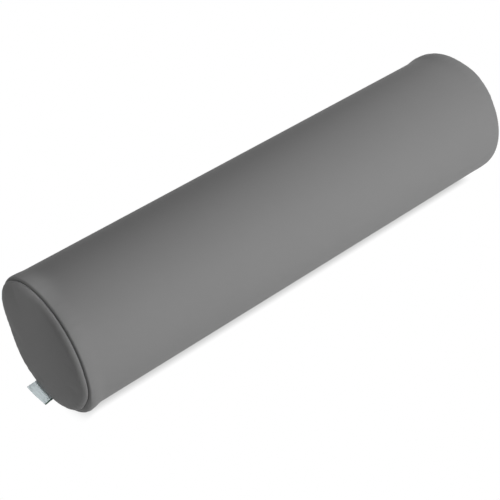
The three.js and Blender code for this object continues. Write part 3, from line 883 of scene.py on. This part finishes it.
def press_zip_channel(piece, roll, zip_sizes):
    """The foam gives way behind the folded edges and the tapes, and further behind the chain."""
    slider_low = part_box("zip_slider")[0]
    behind_tape = roll.hem_depth + zip_sizes.tape_thickness + 2 * roll.gap
    behind_chain = 0.0059
    chain_half = 0.0057
    beside = zip_sizes.opening_width / 2 + zip_sizes.fold_allowance + roll.gap
    tape_end = seam_half(roll) - roll.seam_allowance
    chain_end = abs(slider_low.x) + zip_sizes.opening_tip

    def place(co):
        along, across, out = zip_place(roll, zip_sizes, co)
        if out < 0 or abs(across) > beside or abs(along) > tape_end:
            return co
        deep = abs(across) < chain_half and abs(along) < chain_end
        depth = behind_chain if deep else behind_tape
        above = radius_of(co, roll) - (cover_radius(roll) - depth)
        return raised(roll, co, -max(above, 0))
    move_points(piece, place)


def foam_rings(roll, side):
    """(distance out past the seam, radius by angle) of each ring of one end of the foam."""
    depth = roll.skin + roll.gap
    end_depth = roll.hem_depth + depth + roll.gap
    face = seam_radius(roll) - roll.gap - roll.end_edge
    rise = roll.end_crown - roll.face_crown - depth

    def behind_allowance(inset):
        return lambda turn: barrel_radius(roll, side, inset, turn) - end_depth

    def behind_seam(turn):
        return seam_at(roll, side, turn) - roll.groove - roll.gap - depth

    def on_edge(share):
        return lambda turn: face + share * (seam_at(roll, side, turn) - roll.gap - depth - face)
    rings = [
        (-roll.seam_allowance - roll.gap, behind_allowance(roll.seam_allowance)),
        (-roll.shoulder, behind_allowance(roll.shoulder)),
        (-end_depth, behind_seam),
        (0, behind_seam),
    ]
    for degrees in FOAM_EDGE_TURNS:
        edge_turn = math.radians(degrees)
        rings.append((rise * math.cos(edge_turn), on_edge(math.sin(edge_turn))))
    for share in FOAM_RING_SHARES:
        out = rise + roll.face_crown * (1 - share * share)
        rings.append((out, lambda turn, radius=face * share: radius))
    return rings


def foam_cylinder(roll):
    """The foam, which fills the cover from crown to crown."""
    half = seam_half(roll)
    piece = straight_tube(roll, "foam_roll", FOAM_COLUMNS, FOAM_ROWS, roll.skin + roll.gap)
    for side in (NEAR, FAR):
        pick_open_end(piece, side, 0)
        for ring_out, radius_at in foam_rings(roll, side):
            def place(co):
                turn = turn_of(co, roll)
                radius, out = uneven_edge(roll, side, turn, radius_at(turn), ring_out)
                return on_ring(roll, side * (half + out), radius, turn)
            extrude_picked(piece, place)
        bpy.ops.mesh.edge_face_add()
        bpy.ops.mesh.poke(offset=0)
    stop_editing()
    face_outwards(piece, lambda centre, normal: normal.dot(centre - axis_at(roll)) > 0)
    return piece


class BOLSTER_OT_foam(bpy.types.Operator):
    """Adds the foam roll inside the cover, pressed in behind the zip"""
    bl_idname = "bolster.foam"
    bl_label = "Foam roll"

    def execute(self, context):
        roll = context.scene.bolster_roll
        piece = foam_cylinder(roll)
        press_zip_channel(piece, roll, context.scene.bolster_zip)
        press_on_floor(piece, roll.skin + roll.gap)
        shade_smooth(piece)
        finish_piece(piece, foam(context), "bolster", "foam", "foam_core")
        return {"FINISHED"}


# The zip's tapes

TAPE_ROWS = 26
TAPE_STEPS = 292


def splay_at(along, slider_front):
    """How far each row of teeth stands off the closed chain: in full at the slider's mouth only."""
    mouth = 0.001
    throat = 0.008
    row_splay = 0.00155
    share = (slider_front + mouth + throat - along) / throat
    return row_splay * smooth(share)


def tape_edge_at(zip_sizes, along, slider_front, chain_end):
    """Where a tape's inner edge runs: in its row of teeth, and past the stops beside the other tape."""
    touching = 0.0002
    closing = 0.005
    stop_length = 0.003
    edge = zip_sizes.in_teeth + splay_at(along, slider_front)
    near_stop = slider_front - stop_length
    past_share = max(near_stop - along, along - chain_end) / closing
    return edge + (touching - edge) * smooth(past_share)


def zip_tape(roll, zip_sizes, way, name):
    """One woven tape, with its ribs, from its edge in the teeth to its sewn edge."""
    piece = share_grid(name, TAPE_STEPS, TAPE_ROWS)
    half = opening_half(roll, zip_sizes) + zip_sizes.tape_overrun
    level = cover_radius(roll) - roll.hem_depth - roll.gap - zip_sizes.tape_thickness / 2
    sewn_edge = zip_sizes.in_teeth + zip_sizes.tape_width
    rib = zip_sizes.tape_rib
    slider_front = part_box("zip_slider")[0].x
    chain_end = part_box("zip_bottom_stop")[1].x

    def place(co):
        along = (2 * co.x - 1) * half
        inner = tape_edge_at(zip_sizes, along, slider_front, chain_end)
        across = inner + co.y * (sewn_edge - inner)
        row = round(co.y * TAPE_ROWS)
        radius = level + (rib if row % 2 else -rib)
        return from_zip_place(roll, zip_sizes, along, way * across, radius)
    move_points(piece, place)
    face_outwards(piece, lambda centre, normal: normal.dot(zip_out_axis(zip_sizes)) > 0)
    apply_modifier(piece, "SOLIDIFY", thickness=zip_sizes.tape_thickness - 2 * rib, offset=0)
    return piece


class BOLSTER_OT_tapes(bpy.types.Operator):
    """Adds the two woven tapes of the zip, bent round the roll under the folded edges"""
    bl_idname = "bolster.tapes"
    bl_label = "Zip tapes"

    def execute(self, context):
        roll = context.scene.bolster_roll
        zip_sizes = context.scene.bolster_zip
        for way, word in ((-1, "upper"), (1, "lower")):
            piece = zip_tape(roll, zip_sizes, way, "zip_tape_woven_" + word)
            shade_smooth(piece)
            finish_piece(piece, woven_tape(context), "bolster", "zip_tape", "zip_tape_" + word)
        return {"FINISHED"}


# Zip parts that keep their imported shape

SHARP_ANGLE = math.radians(35)


def dress_node(name, finish, edge_radius):
    """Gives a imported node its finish, and rounds its edges as moulding or casting does."""
    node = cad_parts[name]
    for slot in node.material_slots:
        slot.material = finish
    weld = node.modifiers.new("weld", "WELD")
    weld.merge_threshold = WELD
    bevel = node.modifiers.new("bevel", "BEVEL")
    bevel.width = edge_radius
    bevel.segments = 2
    bevel.limit_method = "ANGLE"
    bevel.angle_limit = SHARP_ANGLE
    bevel.harden_normals = False
    node.data.polygons.foreach_set("use_smooth", [True] * len(node.data.polygons))


class BOLSTER_OT_zip_parts(bpy.types.Operator):
    """Gives the zip's teeth, stops, slider and pull tab their finish and rounded edges"""
    bl_idname = "bolster.zip_parts"
    bl_label = "Zip teeth and slider"

    def execute(self, context):
        plastic = acetal(context)
        metal = cast_zinc(context)
        tooth_round = 0.00012
        stop_round = 0.0002
        slider_round = 0.00008
        tab_round = 0.00025
        for word in ("upper", "lower"):
            dress_node("zip_teeth_" + word, plastic, tooth_round)
            dress_node("zip_top_stop_" + word, plastic, stop_round)
        dress_node("zip_bottom_stop", plastic, stop_round)
        dress_node("zip_slider", metal, slider_round)
        dress_node("zip_pull_tab", metal, tab_round)
        return {"FINISHED"}


# Sewing thread

def one_stitch(zip_sizes, name):
    """A single stitch that lies along X: a thread that bows up and dips in at both ends."""
    deselect_all()
    bpy.ops.mesh.primitive_cylinder_add(
        vertices=6, radius=zip_sizes.thread / 2, depth=zip_sizes.stitch_length,
        end_fill_type="NGON", rotation=(0, math.pi / 2, 0))
    piece = start_piece(name)
    edit(piece)
    pick(piece, "EDGE", lambda edge: abs(edge.verts[0].co.x - edge.verts[1].co.x) > TOUCH)
    bpy.ops.mesh.subdivide(number_cuts=3)
    stop_editing()
    half = zip_sizes.stitch_length / 2
    thinner_share = 0.35
    dip_share = 0.9
    dip = dip_share * zip_sizes.thread

    def place(co):
        share = abs(co.x) / half
        thick_share = 1 - thinner_share * share * share
        return Vector((co.x, co.y * thick_share, co.z * thick_share - dip * share ** 3))
    move_points(piece, place)
    return piece


def stitches(zip_sizes, name, run):
    """As many stitches along X as fit in a run, and half the way from the first to the last."""
    piece = one_stitch(zip_sizes, name)
    pitch = zip_sizes.stitch_pitch
    count = int(run / pitch)
    apply_modifier(piece, "ARRAY", count=count, use_relative_offset=False,
                   use_constant_offset=True, constant_offset_displace=(pitch, 0, 0))
    return piece, (count - 1) * pitch / 2


def stitch_row(roll, zip_sizes, name, across):
    """A row of topstitching along one folded edge of the opening, as long as its tape."""
    half = opening_half(roll, zip_sizes) + zip_sizes.tape_overrun - zip_sizes.stitch_pitch
    piece, half_run = stitches(zip_sizes, name, 2 * half)
    proud_share = 0.2
    level = cover_radius(roll) - zip_sizes.stitch_dent + proud_share * zip_sizes.thread
    seat = from_zip_place(roll, zip_sizes, -half_run, across, level)
    up = (seat - axis_at(roll, seat.x)).normalized()
    turn = Matrix((ALONG, up.cross(ALONG), up)).transposed().to_4x4()
    piece.data.transform(Matrix.Translation(seat) @ turn)
    return piece


def bar_tack(roll, zip_sizes, name, side):
    """Stitches across the seam, just past a tip of the opening."""
    piece, half_run = stitches(zip_sizes, name, 2 * zip_sizes.stitch_offset)
    past_tip = zip_sizes.tape_overrun - zip_sizes.stitch_pitch / 2
    along = side * (opening_half(roll, zip_sizes) + past_tip)
    proud_share = 0.1
    level = cover_radius(roll) + proud_share * zip_sizes.thread

    def place(co):
        return from_zip_place(roll, zip_sizes, along - co.y, co.x - half_run, level + co.z)
    move_points(piece, place)
    return piece


class BOLSTER_OT_stitching(bpy.types.Operator):
    """Adds the topstitching along both edges of the opening and across its ends"""
    bl_idname = "bolster.stitching"
    bl_label = "Zip topstitching"

    def execute(self, context):
        roll = context.scene.bolster_roll
        zip_sizes = context.scene.bolster_zip
        thread = sewing_thread(context)
        offset = zip_sizes.stitch_offset
        rows = [
            stitch_row(roll, zip_sizes, "topstitch_upper", -offset),
            stitch_row(roll, zip_sizes, "topstitch_lower", offset),
            bar_tack(roll, zip_sizes, "bar_tack_near", NEAR),
            bar_tack(roll, zip_sizes, "bar_tack_far", FAR),
        ]
        for piece in rows:
            shade_smooth(piece, 60)
            finish_piece(piece, thread, "bolster", "leatherette")
        return {"FINISHED"}


# The side label

LABEL_STEPS = 44
LABEL_COLUMNS = 26


def label_point(roll, label, share, across_share):
    """A point of the folded ribbon: share goes from the seam out to the fold and back."""
    fold_radius = (label.ribbon + label.fold) / 2
    reach = label.reach - label.skew * across_share
    straight = reach - fold_radius - label.ribbon / 2
    bend = math.pi * fold_radius
    way = share * (2 * straight + bend)
    if way < straight:
        out = way
        rise = 0.0
    elif way < straight + bend:
        turn = (way - straight) / fold_radius
        out = straight + fold_radius * math.sin(turn)
        rise = fold_radius * (1 - math.cos(turn))
    else:
        out = 2 * straight + bend - way
        rise = 2 * fold_radius
    out_share = out / reach
    curl = label.curl * math.sin(2 * math.pi * across_share) * out_share
    rise += label.ribbon / 2 + label.droop * out_share * out_share + curl
    along = label.width * (0.5 - across_share)
    radius = seam_radius(roll) - 2 * roll.gap + rise
    turn = label.place + along / seam_radius(roll)
    return on_ring(roll, -(seam_half(roll) + roll.gap + out), radius, turn)


class BOLSTER_OT_label(bpy.types.Operator):
    """Adds the side label, a folded ribbon in the near end seam, left plain"""
    bl_idname = "bolster.label"
    bl_label = "Side label"

    def execute(self, context):
        roll = context.scene.bolster_roll
        label = context.scene.bolster_label
        piece = share_grid("label_ribbon", LABEL_STEPS, LABEL_COLUMNS)
        layer = piece.data.uv_layers.new(name="ribbon")
        for loop in piece.data.loops:
            co = piece.data.vertices[loop.vertex_index].co
            layer.data[loop.index].uv = (co.x * 2 * label.reach, co.y * label.width)
        move_points(piece, lambda co: label_point(roll, label, co.x, co.y))
        apply_modifier(piece, "SOLIDIFY", thickness=label.ribbon, offset=0)
        shade_smooth(piece)
        finish_piece(piece, satin_ribbon(context), "bolster", "label_ribbon", "side_label")
        return {"FINISHED"}


# Finishes

WHITE = (1, 1, 1, 1)
WAVE_RADIANS = 20  # that a wave texture goes through in each metre at scale 1


def new_finish(name):
    finish = bpy.data.materials.new(name)
    finish.use_nodes = True
    tree = finish.node_tree
    tree.nodes.clear()
    return finish, tree


def add_node(tree, kind, settings=None, links=None):
    """Adds a node, sets its properties and sockets by name, and joins what goes into it."""
    node = tree.nodes.new(kind)
    for name, value in (settings or {}).items():
        if isinstance(name, int) or name in node.inputs:
            node.inputs[name].default_value = value
        else:
            setattr(node, name, value)
    for name, source in (links or {}).items():
        tree.links.new(source, node.inputs[name])
    return node


def own_place(tree):
    """The place in the piece's own metres."""
    return add_node(tree, "ShaderNodeTexCoord").outputs["Object"]


def cells(tree, place, size, **settings):
    """Cells of about this size: low in the middle and higher towards the rim."""
    return add_node(tree, "ShaderNodeTexVoronoi", {**settings, "Scale": 1 / size}, {
        "Vector": place}).outputs["Distance"]


def clouds(tree, place, size, detail):
    """Soft irregular patches of about this size, from 0 to 1."""
    return add_node(tree, "ShaderNodeTexNoise", {"Scale": 1 / size, "Detail": detail}, {
        "Vector": place}).outputs["Fac"]


def ribs(tree, place, direction, radian_length, distortion=0.0):
    """Even ribs from 0 to 1, whose wave goes through a radian in about this length."""
    return add_node(tree, "ShaderNodeTexWave", {
        "wave_type": "BANDS", "bands_direction": direction,
        "Scale": 1 / (WAVE_RADIANS * radian_length), "Distortion": distortion}, {
        "Vector": place}).outputs["Fac"]


def shade_between(tree, shade, low_share, high_share, share):
    """A shade whose strength goes from one share to another: sockets 6 and 7 of a colour mix."""
    return add_node(tree, "ShaderNodeMix", {
        "data_type": "RGBA", 6: rgba(shade, low_share), 7: rgba(shade, high_share)}, {
        0: share}).outputs[2]


def rgba(shade, strength_share=1.0):
    return (*(part * strength_share for part in shade), 1.0)


def value_between(tree, low, high, share):
    return add_node(tree, "ShaderNodeMapRange", {"To Min": low, "To Max": high}, {
        "Value": share}).outputs["Result"]


def relief(tree, strength_share, depth, height):
    """The slope of a fine relief, for a surface's normal."""
    return add_node(tree, "ShaderNodeBump", {"Strength": strength_share, "Distance": depth}, {
        "Height": height}).outputs["Normal"]


def calculate(tree, operation, *terms):
    """What an operation makes of its terms, which are numbers or sockets."""
    numbers = {place: term for place, term in enumerate(terms) if isinstance(term, float)}
    sockets = {place: term for place, term in enumerate(terms) if place not in numbers}
    return add_node(tree, "ShaderNodeMath", {"operation": operation, **numbers}, sockets).outputs["Value"]


def coat(tree, varying, uniform):
    """The surface of a finish: sockets that something varies are linked, the others are set."""
    skin = add_node(tree, "ShaderNodeBsdfPrincipled", uniform, varying)
    add_node(tree, "ShaderNodeOutputMaterial", links={"Surface": skin.outputs["BSDF"]})


def leatherette(context):
    """Polyurethane-coated knit, smooth calf grain: a satin skin with a faint pebbled grain,
    calendered, so that light spreads softly over it."""
    shade = context.scene.bolster_finishes.leatherette
    grain_size = 0.0011
    pore_size = 0.0007
    pore_share = 0.35
    grain_depth = 0.00008
    cloud_size = 0.045
    finish, tree = new_finish("coated_leatherette")
    place = own_place(tree)
    grain = cells(tree, place, grain_size, feature="SMOOTH_F1", Smoothness=0.6)
    height = calculate(tree, "MULTIPLY_ADD", clouds(tree, place, pore_size, 2.0), pore_share, grain)
    coat(tree, {
        "Base Color": shade_between(tree, shade, 0.985, 1.015, clouds(tree, place, cloud_size, 3.0)),
        "Roughness": value_between(tree, 0.5, 0.6, grain),
        "Normal": relief(tree, 0.35, grain_depth, height),
    }, {"IOR": 1.46, "Specular IOR Level": 0.05})
    return finish


def foam(context):
    """Cut polyurethane foam: matt, cream, with open cells about a millimetre across, whose hollows are
    painted darker as shade.
    """
    shade = context.scene.bolster_finishes.foam
    cell_size = 0.0012
    cell_depth = 0.0004
    finish, tree = new_finish("cut_foam")
    pits = cells(tree, own_place(tree), cell_size)
    # The cells' depth also paints the colour darker down into each hollow: painted shade.
    coat(tree, {
        "Base Color": shade_between(tree, shade, 0.72, 1.0, pits),
        "Normal": relief(tree, 0.7, cell_depth, pits),
    }, {"Roughness": 0.95})
    return finish


def woven_tape(context):
    """Polyester zip tape, woven in fine ribs along and across: matt, with painted shade between the ribs
    and painted light on their crests.
    """
    shade = context.scene.bolster_finishes.tape
    rib_along = 0.00045
    rib_across = 0.0006
    weave_depth = 0.0001
    finish, tree = new_finish("woven_zip_tape")
    place = own_place(tree)
    weave = calculate(tree, "MULTIPLY", ribs(tree, place, "X", rib_along, 0.6),
                      ribs(tree, place, "Z", rib_across, 0.6))
    # The ribs' height also paints the colour: painted shade between the ribs, painted light on their
    # crests.
    coat(tree, {
        "Base Color": shade_between(tree, shade, 0.6, 1.2, weave),
        "Normal": relief(tree, 0.8, weave_depth, weave),
    }, {"Roughness": 0.85, "Sheen Weight": 0.2})
    return finish


def acetal(context):
    """Acetal teeth moulded onto the tape: smooth, slightly waxy plastic with a soft shine."""
    shade = context.scene.bolster_finishes.teeth
    cloud_size = 0.0025
    finish, tree = new_finish("moulded_acetal")
    cloud = clouds(tree, own_place(tree), cloud_size, 2.0)
    coat(tree, {
        "Base Color": shade_between(tree, shade, 0.92, 1.08, cloud),
        "Roughness": value_between(tree, 0.3, 0.42, cloud),
    }, {"IOR": 1.48})
    return finish


def cast_zinc(context):
    """Die-cast zinc, tumbled and plated: satin metal with a faint cast mottle."""
    shade = context.scene.bolster_finishes.zinc
    mottle_size = 0.0008
    mottle_depth = 0.00003
    finish, tree = new_finish("plated_cast_zinc")
    mottle = clouds(tree, own_place(tree), mottle_size, 4.0)
    coat(tree, {
        "Base Color": shade_between(tree, shade, 0.9, 1.06, mottle),
        "Roughness": value_between(tree, 0.24, 0.42, mottle),
        "Normal": relief(tree, 0.2, mottle_depth, mottle),
    }, {"Metallic": 1.0})
    return finish


def sewing_thread(context):
    """Bonded polyester thread of three plies: slanting plies with a soft lustre, painted darker between
    the plies as shade.
    """
    shade = context.scene.bolster_finishes.thread
    ply = 0.00035
    ply_depth = 0.00008
    finish, tree = new_finish("bonded_thread")
    plies = ribs(tree, own_place(tree), "DIAGONAL", ply)
    # The plies' height also paints the colour darker between them: painted shade.
    coat(tree, {
        "Base Color": shade_between(tree, shade, 0.7, 1.1, plies),
        "Normal": relief(tree, 0.6, ply_depth, plies),
    }, {"Roughness": 0.6, "Sheen Weight": 0.2})
    return finish


def satin_ribbon(context):
    """Woven polyester satin: pale, with fine ribs across, painted a little darker between them as shade,
    and a dark band at one short edge.
    """
    finishes = context.scene.bolster_finishes
    label = context.scene.bolster_label
    rib = 0.0005
    rib_depth = 0.00006
    finish, tree = new_finish("woven_satin_ribbon")
    place = add_node(tree, "ShaderNodeUVMap", {"uv_map": "ribbon"}).outputs["UV"]
    parts = add_node(tree, "ShaderNodeSeparateXYZ", links={0: place})
    fine_ribs = ribs(tree, place, "X", rib, 0.5)
    band = calculate(tree, "GREATER_THAN", parts.outputs["Y"], label.width - label.edge_band)
    # The ribs' height also paints the ribbon a little darker between them: painted shade. The dark band is
    # woven in.
    tone = add_node(tree, "ShaderNodeMix", {"data_type": "RGBA", 7: rgba(finishes.ribbon_band)}, {
        0: band, 6: shade_between(tree, finishes.ribbon, 0.93, 1.03, fine_ribs)})
    coat(tree, {
        "Base Color": tone.outputs[2],
        "Normal": relief(tree, 0.4, rib_depth, fine_ribs),
    }, {"Roughness": 0.55, "Sheen Weight": 0.2})
    return finish


# The stage

def seen_directly(tree):
    """1 for what the camera sees straight on, or in a mirror or through glass, else 0."""
    path = add_node(tree, "ShaderNodeLightPath").outputs
    straight_on = calculate(tree, "MAXIMUM", path["Is Camera Ray"], path["Is Glossy Ray"])
    return calculate(tree, "MAXIMUM", straight_on, path["Is Transmission Ray"])


def grown_by(tree, along, start, full):
    """0 before one place along the roll, 1 past the other, and smooth between them."""
    return add_node(tree, "ShaderNodeMapRange", {
        "From Min": start, "From Max": full, "interpolation_type": "SMOOTHSTEP"}, {
        "Value": along}).outputs["Result"]


def pale_floor_finish(stage):
    """Matt white floor. The camera sees it as pure white, but for the shadow close round the roll."""
    finish, tree = new_finish("pale_floor")
    lit = add_node(tree, "ShaderNodeBsdfDiffuse", {"Color": (0.8, 0.8, 0.8, 1.0)})
    closed_share = 0.1
    open_share = 0.95
    darkest_share = 0.75
    close = add_node(tree, "ShaderNodeAmbientOcclusion", {
        "samples": 16, "Distance": stage.shadow_reach, "Color": WHITE})
    dark = add_node(tree, "ShaderNodeMapRange", {
        "From Min": closed_share, "From Max": open_share, "To Min": darkest_share, "To Max": 0.0}, {
        "Value": close.outputs["AO"]})
    along = add_node(tree, "ShaderNodeSeparateXYZ", links={0: own_place(tree)}).outputs["X"]
    begun = grown_by(tree, along, stage.shadow_near, stage.shadow_near + stage.shadow_fade)
    ended = grown_by(tree, along, stage.shadow_far, stage.shadow_far - stage.shadow_fade)
    where = calculate(tree, "MULTIPLY", begun, ended)
    shadow = calculate(tree, "MULTIPLY", dark.outputs["Result"], where)
    glow = add_node(tree, "ShaderNodeEmission", {"Color": WHITE}, {
        "Strength": calculate(tree, "SUBTRACT", 1.0, shadow)})
    mix = add_node(tree, "ShaderNodeMixShader", links={
        0: seen_directly(tree), 1: lit.outputs["BSDF"], 2: glow.outputs["Emission"]})
    add_node(tree, "ShaderNodeOutputMaterial", links={"Surface": mix.outputs["Shader"]})
    return finish


def light_world(scene, stage):
    """Soft light from all round, in front of a pure white background."""
    world = bpy.data.worlds.new("soft_room")
    scene.world = world
    world.use_nodes = True
    tree = world.node_tree
    tree.nodes.clear()
    room = add_node(tree, "ShaderNodeBackground", {"Color": WHITE, "Strength": stage.room_light})
    white = add_node(tree, "ShaderNodeBackground", {"Color": WHITE, "Strength": 1.0})
    mix = add_node(tree, "ShaderNodeMixShader", links={
        0: seen_directly(tree), 1: room.outputs["Background"], 2: white.outputs["Background"]})
    add_node(tree, "ShaderNodeOutputWorld", links={"Surface": mix.outputs["Shader"]})


def add_lamp(name, kind, place, aim, power):
    """A lamp at a place, turned to what it lights, and not seen by the camera itself."""
    deselect_all()
    bpy.ops.object.light_add(type=kind, location=place)
    lamp = bpy.context.object
    lamp.name = name
    lamp.data.energy = power
    lamp.visible_camera = False
    lamp.rotation_euler = (Vector(aim) - Vector(place)).to_track_quat("-Z", "Y").to_euler()
    return lamp


def add_soft_lamp(name, place, aim, size, power):
    """A large round lamp, whose light is soft."""
    lamp = add_lamp(name, "AREA", place, aim, power)
    lamp.data.shape = "DISK"
    lamp.data.size = size


def add_label_lamp(stage):
    """A narrow beam from straight above, which lights the label but not the end beside it."""
    lamp = add_lamp("label_lamp", "SPOT", stage.label_lamp_place, stage.label_lamp_aim, stage.label_light)
    lamp.data.spot_size = stage.label_lamp_cone
    lamp.data.spot_blend = 0.6
    lamp.data.shadow_soft_size = stage.label_lamp_size


def add_camera(scene, roll, stage):
    """The camera, fitted to where the roll lies in the photo."""
    aim = axis_at(roll, stage.look_along)
    level_share = math.cos(stage.elevation)
    back = Vector((math.sin(stage.azimuth) * level_share, -math.cos(stage.azimuth) * level_share,
                   math.sin(stage.elevation)))
    deselect_all()
    bpy.ops.object.camera_add(location=aim + back * stage.distance)
    camera = bpy.context.object
    camera.name = "photo_camera"
    camera.rotation_euler = (-back).to_track_quat("-Z", "Y").to_euler()
    camera.data.lens = stage.lens
    camera.data.sensor_width = 36
    camera.data.shift_x = stage.shift_across
    camera.data.shift_y = stage.shift_up
    scene.camera = camera


class BOLSTER_OT_stage(bpy.types.Operator):
    """Adds the pale floor, the soft light and the camera"""
    bl_idname = "bolster.stage"
    bl_label = "Floor, light and camera"

    def execute(self, context):
        scene = context.scene
        roll = scene.bolster_roll
        stage = scene.bolster_stage
        deselect_all()
        below = -0.0002
        bpy.ops.mesh.primitive_plane_add(size=stage.floor_size, location=(0, 0, below))
        floor = start_piece("pale_floor")
        floor.data.materials.append(pale_floor_finish(stage))
        light_world(scene, stage)
        middle = axis_at(roll)
        add_soft_lamp("front_lamp", stage.front_place, middle, stage.front_size, stage.front_light)
        add_soft_lamp("low_lamp", stage.low_place, middle, stage.low_size, stage.low_light)
        add_soft_lamp("back_lamp", stage.back_place, middle, stage.back_size, stage.back_light)
        add_label_lamp(stage)
        add_camera(scene, roll, stage)
        scene.view_settings.view_transform = "Standard"
        return {"FINISHED"}


class BOLSTER_PT_panel(bpy.types.Panel):
    bl_label = "Massage bolster"
    bl_idname = "BOLSTER_PT_panel"
    bl_space_type = "VIEW_3D"
    bl_region_type = "UI"
    bl_category = "Bolster"

    def draw(self, context):
        for operator in OPERATORS:
            self.layout.operator(operator.bl_idname)


SETTINGS = {
    "bolster_roll": BolsterRoll,
    "bolster_zip": BolsterZip,
    "bolster_label": BolsterLabel,
    "bolster_finishes": BolsterFinishes,
    "bolster_stage": BolsterStage,
}
OPERATORS = (
    BOLSTER_OT_barrel,
    BOLSTER_OT_ends,
    BOLSTER_OT_foam,
    BOLSTER_OT_tapes,
    BOLSTER_OT_zip_parts,
    BOLSTER_OT_stitching,
    BOLSTER_OT_label,
    BOLSTER_OT_stage,
)


def register():
    for group in SETTINGS.values():
        bpy.utils.register_class(group)
    for operator in OPERATORS:
        bpy.utils.register_class(operator)
    bpy.utils.register_class(BOLSTER_PT_panel)
    for name, group in SETTINGS.items():
        setattr(bpy.types.Scene, name, PointerProperty(type=group))


def unregister():
    for name in SETTINGS:
        delattr(bpy.types.Scene, name)
    bpy.utils.unregister_class(BOLSTER_PT_panel)
    for operator in reversed(OPERATORS):
        bpy.utils.unregister_class(operator)
    for group in SETTINGS.values():
        bpy.utils.unregister_class(group)


def main():
    register()
    bpy.ops.bolster.barrel()
    bpy.ops.bolster.ends()
    bpy.ops.bolster.foam()
    bpy.ops.bolster.tapes()
    bpy.ops.bolster.zip_parts()
    bpy.ops.bolster.stitching()
    bpy.ops.bolster.label()
    bpy.ops.bolster.stage()
    deselect_all()


if __name__ == "__main__":
    main()
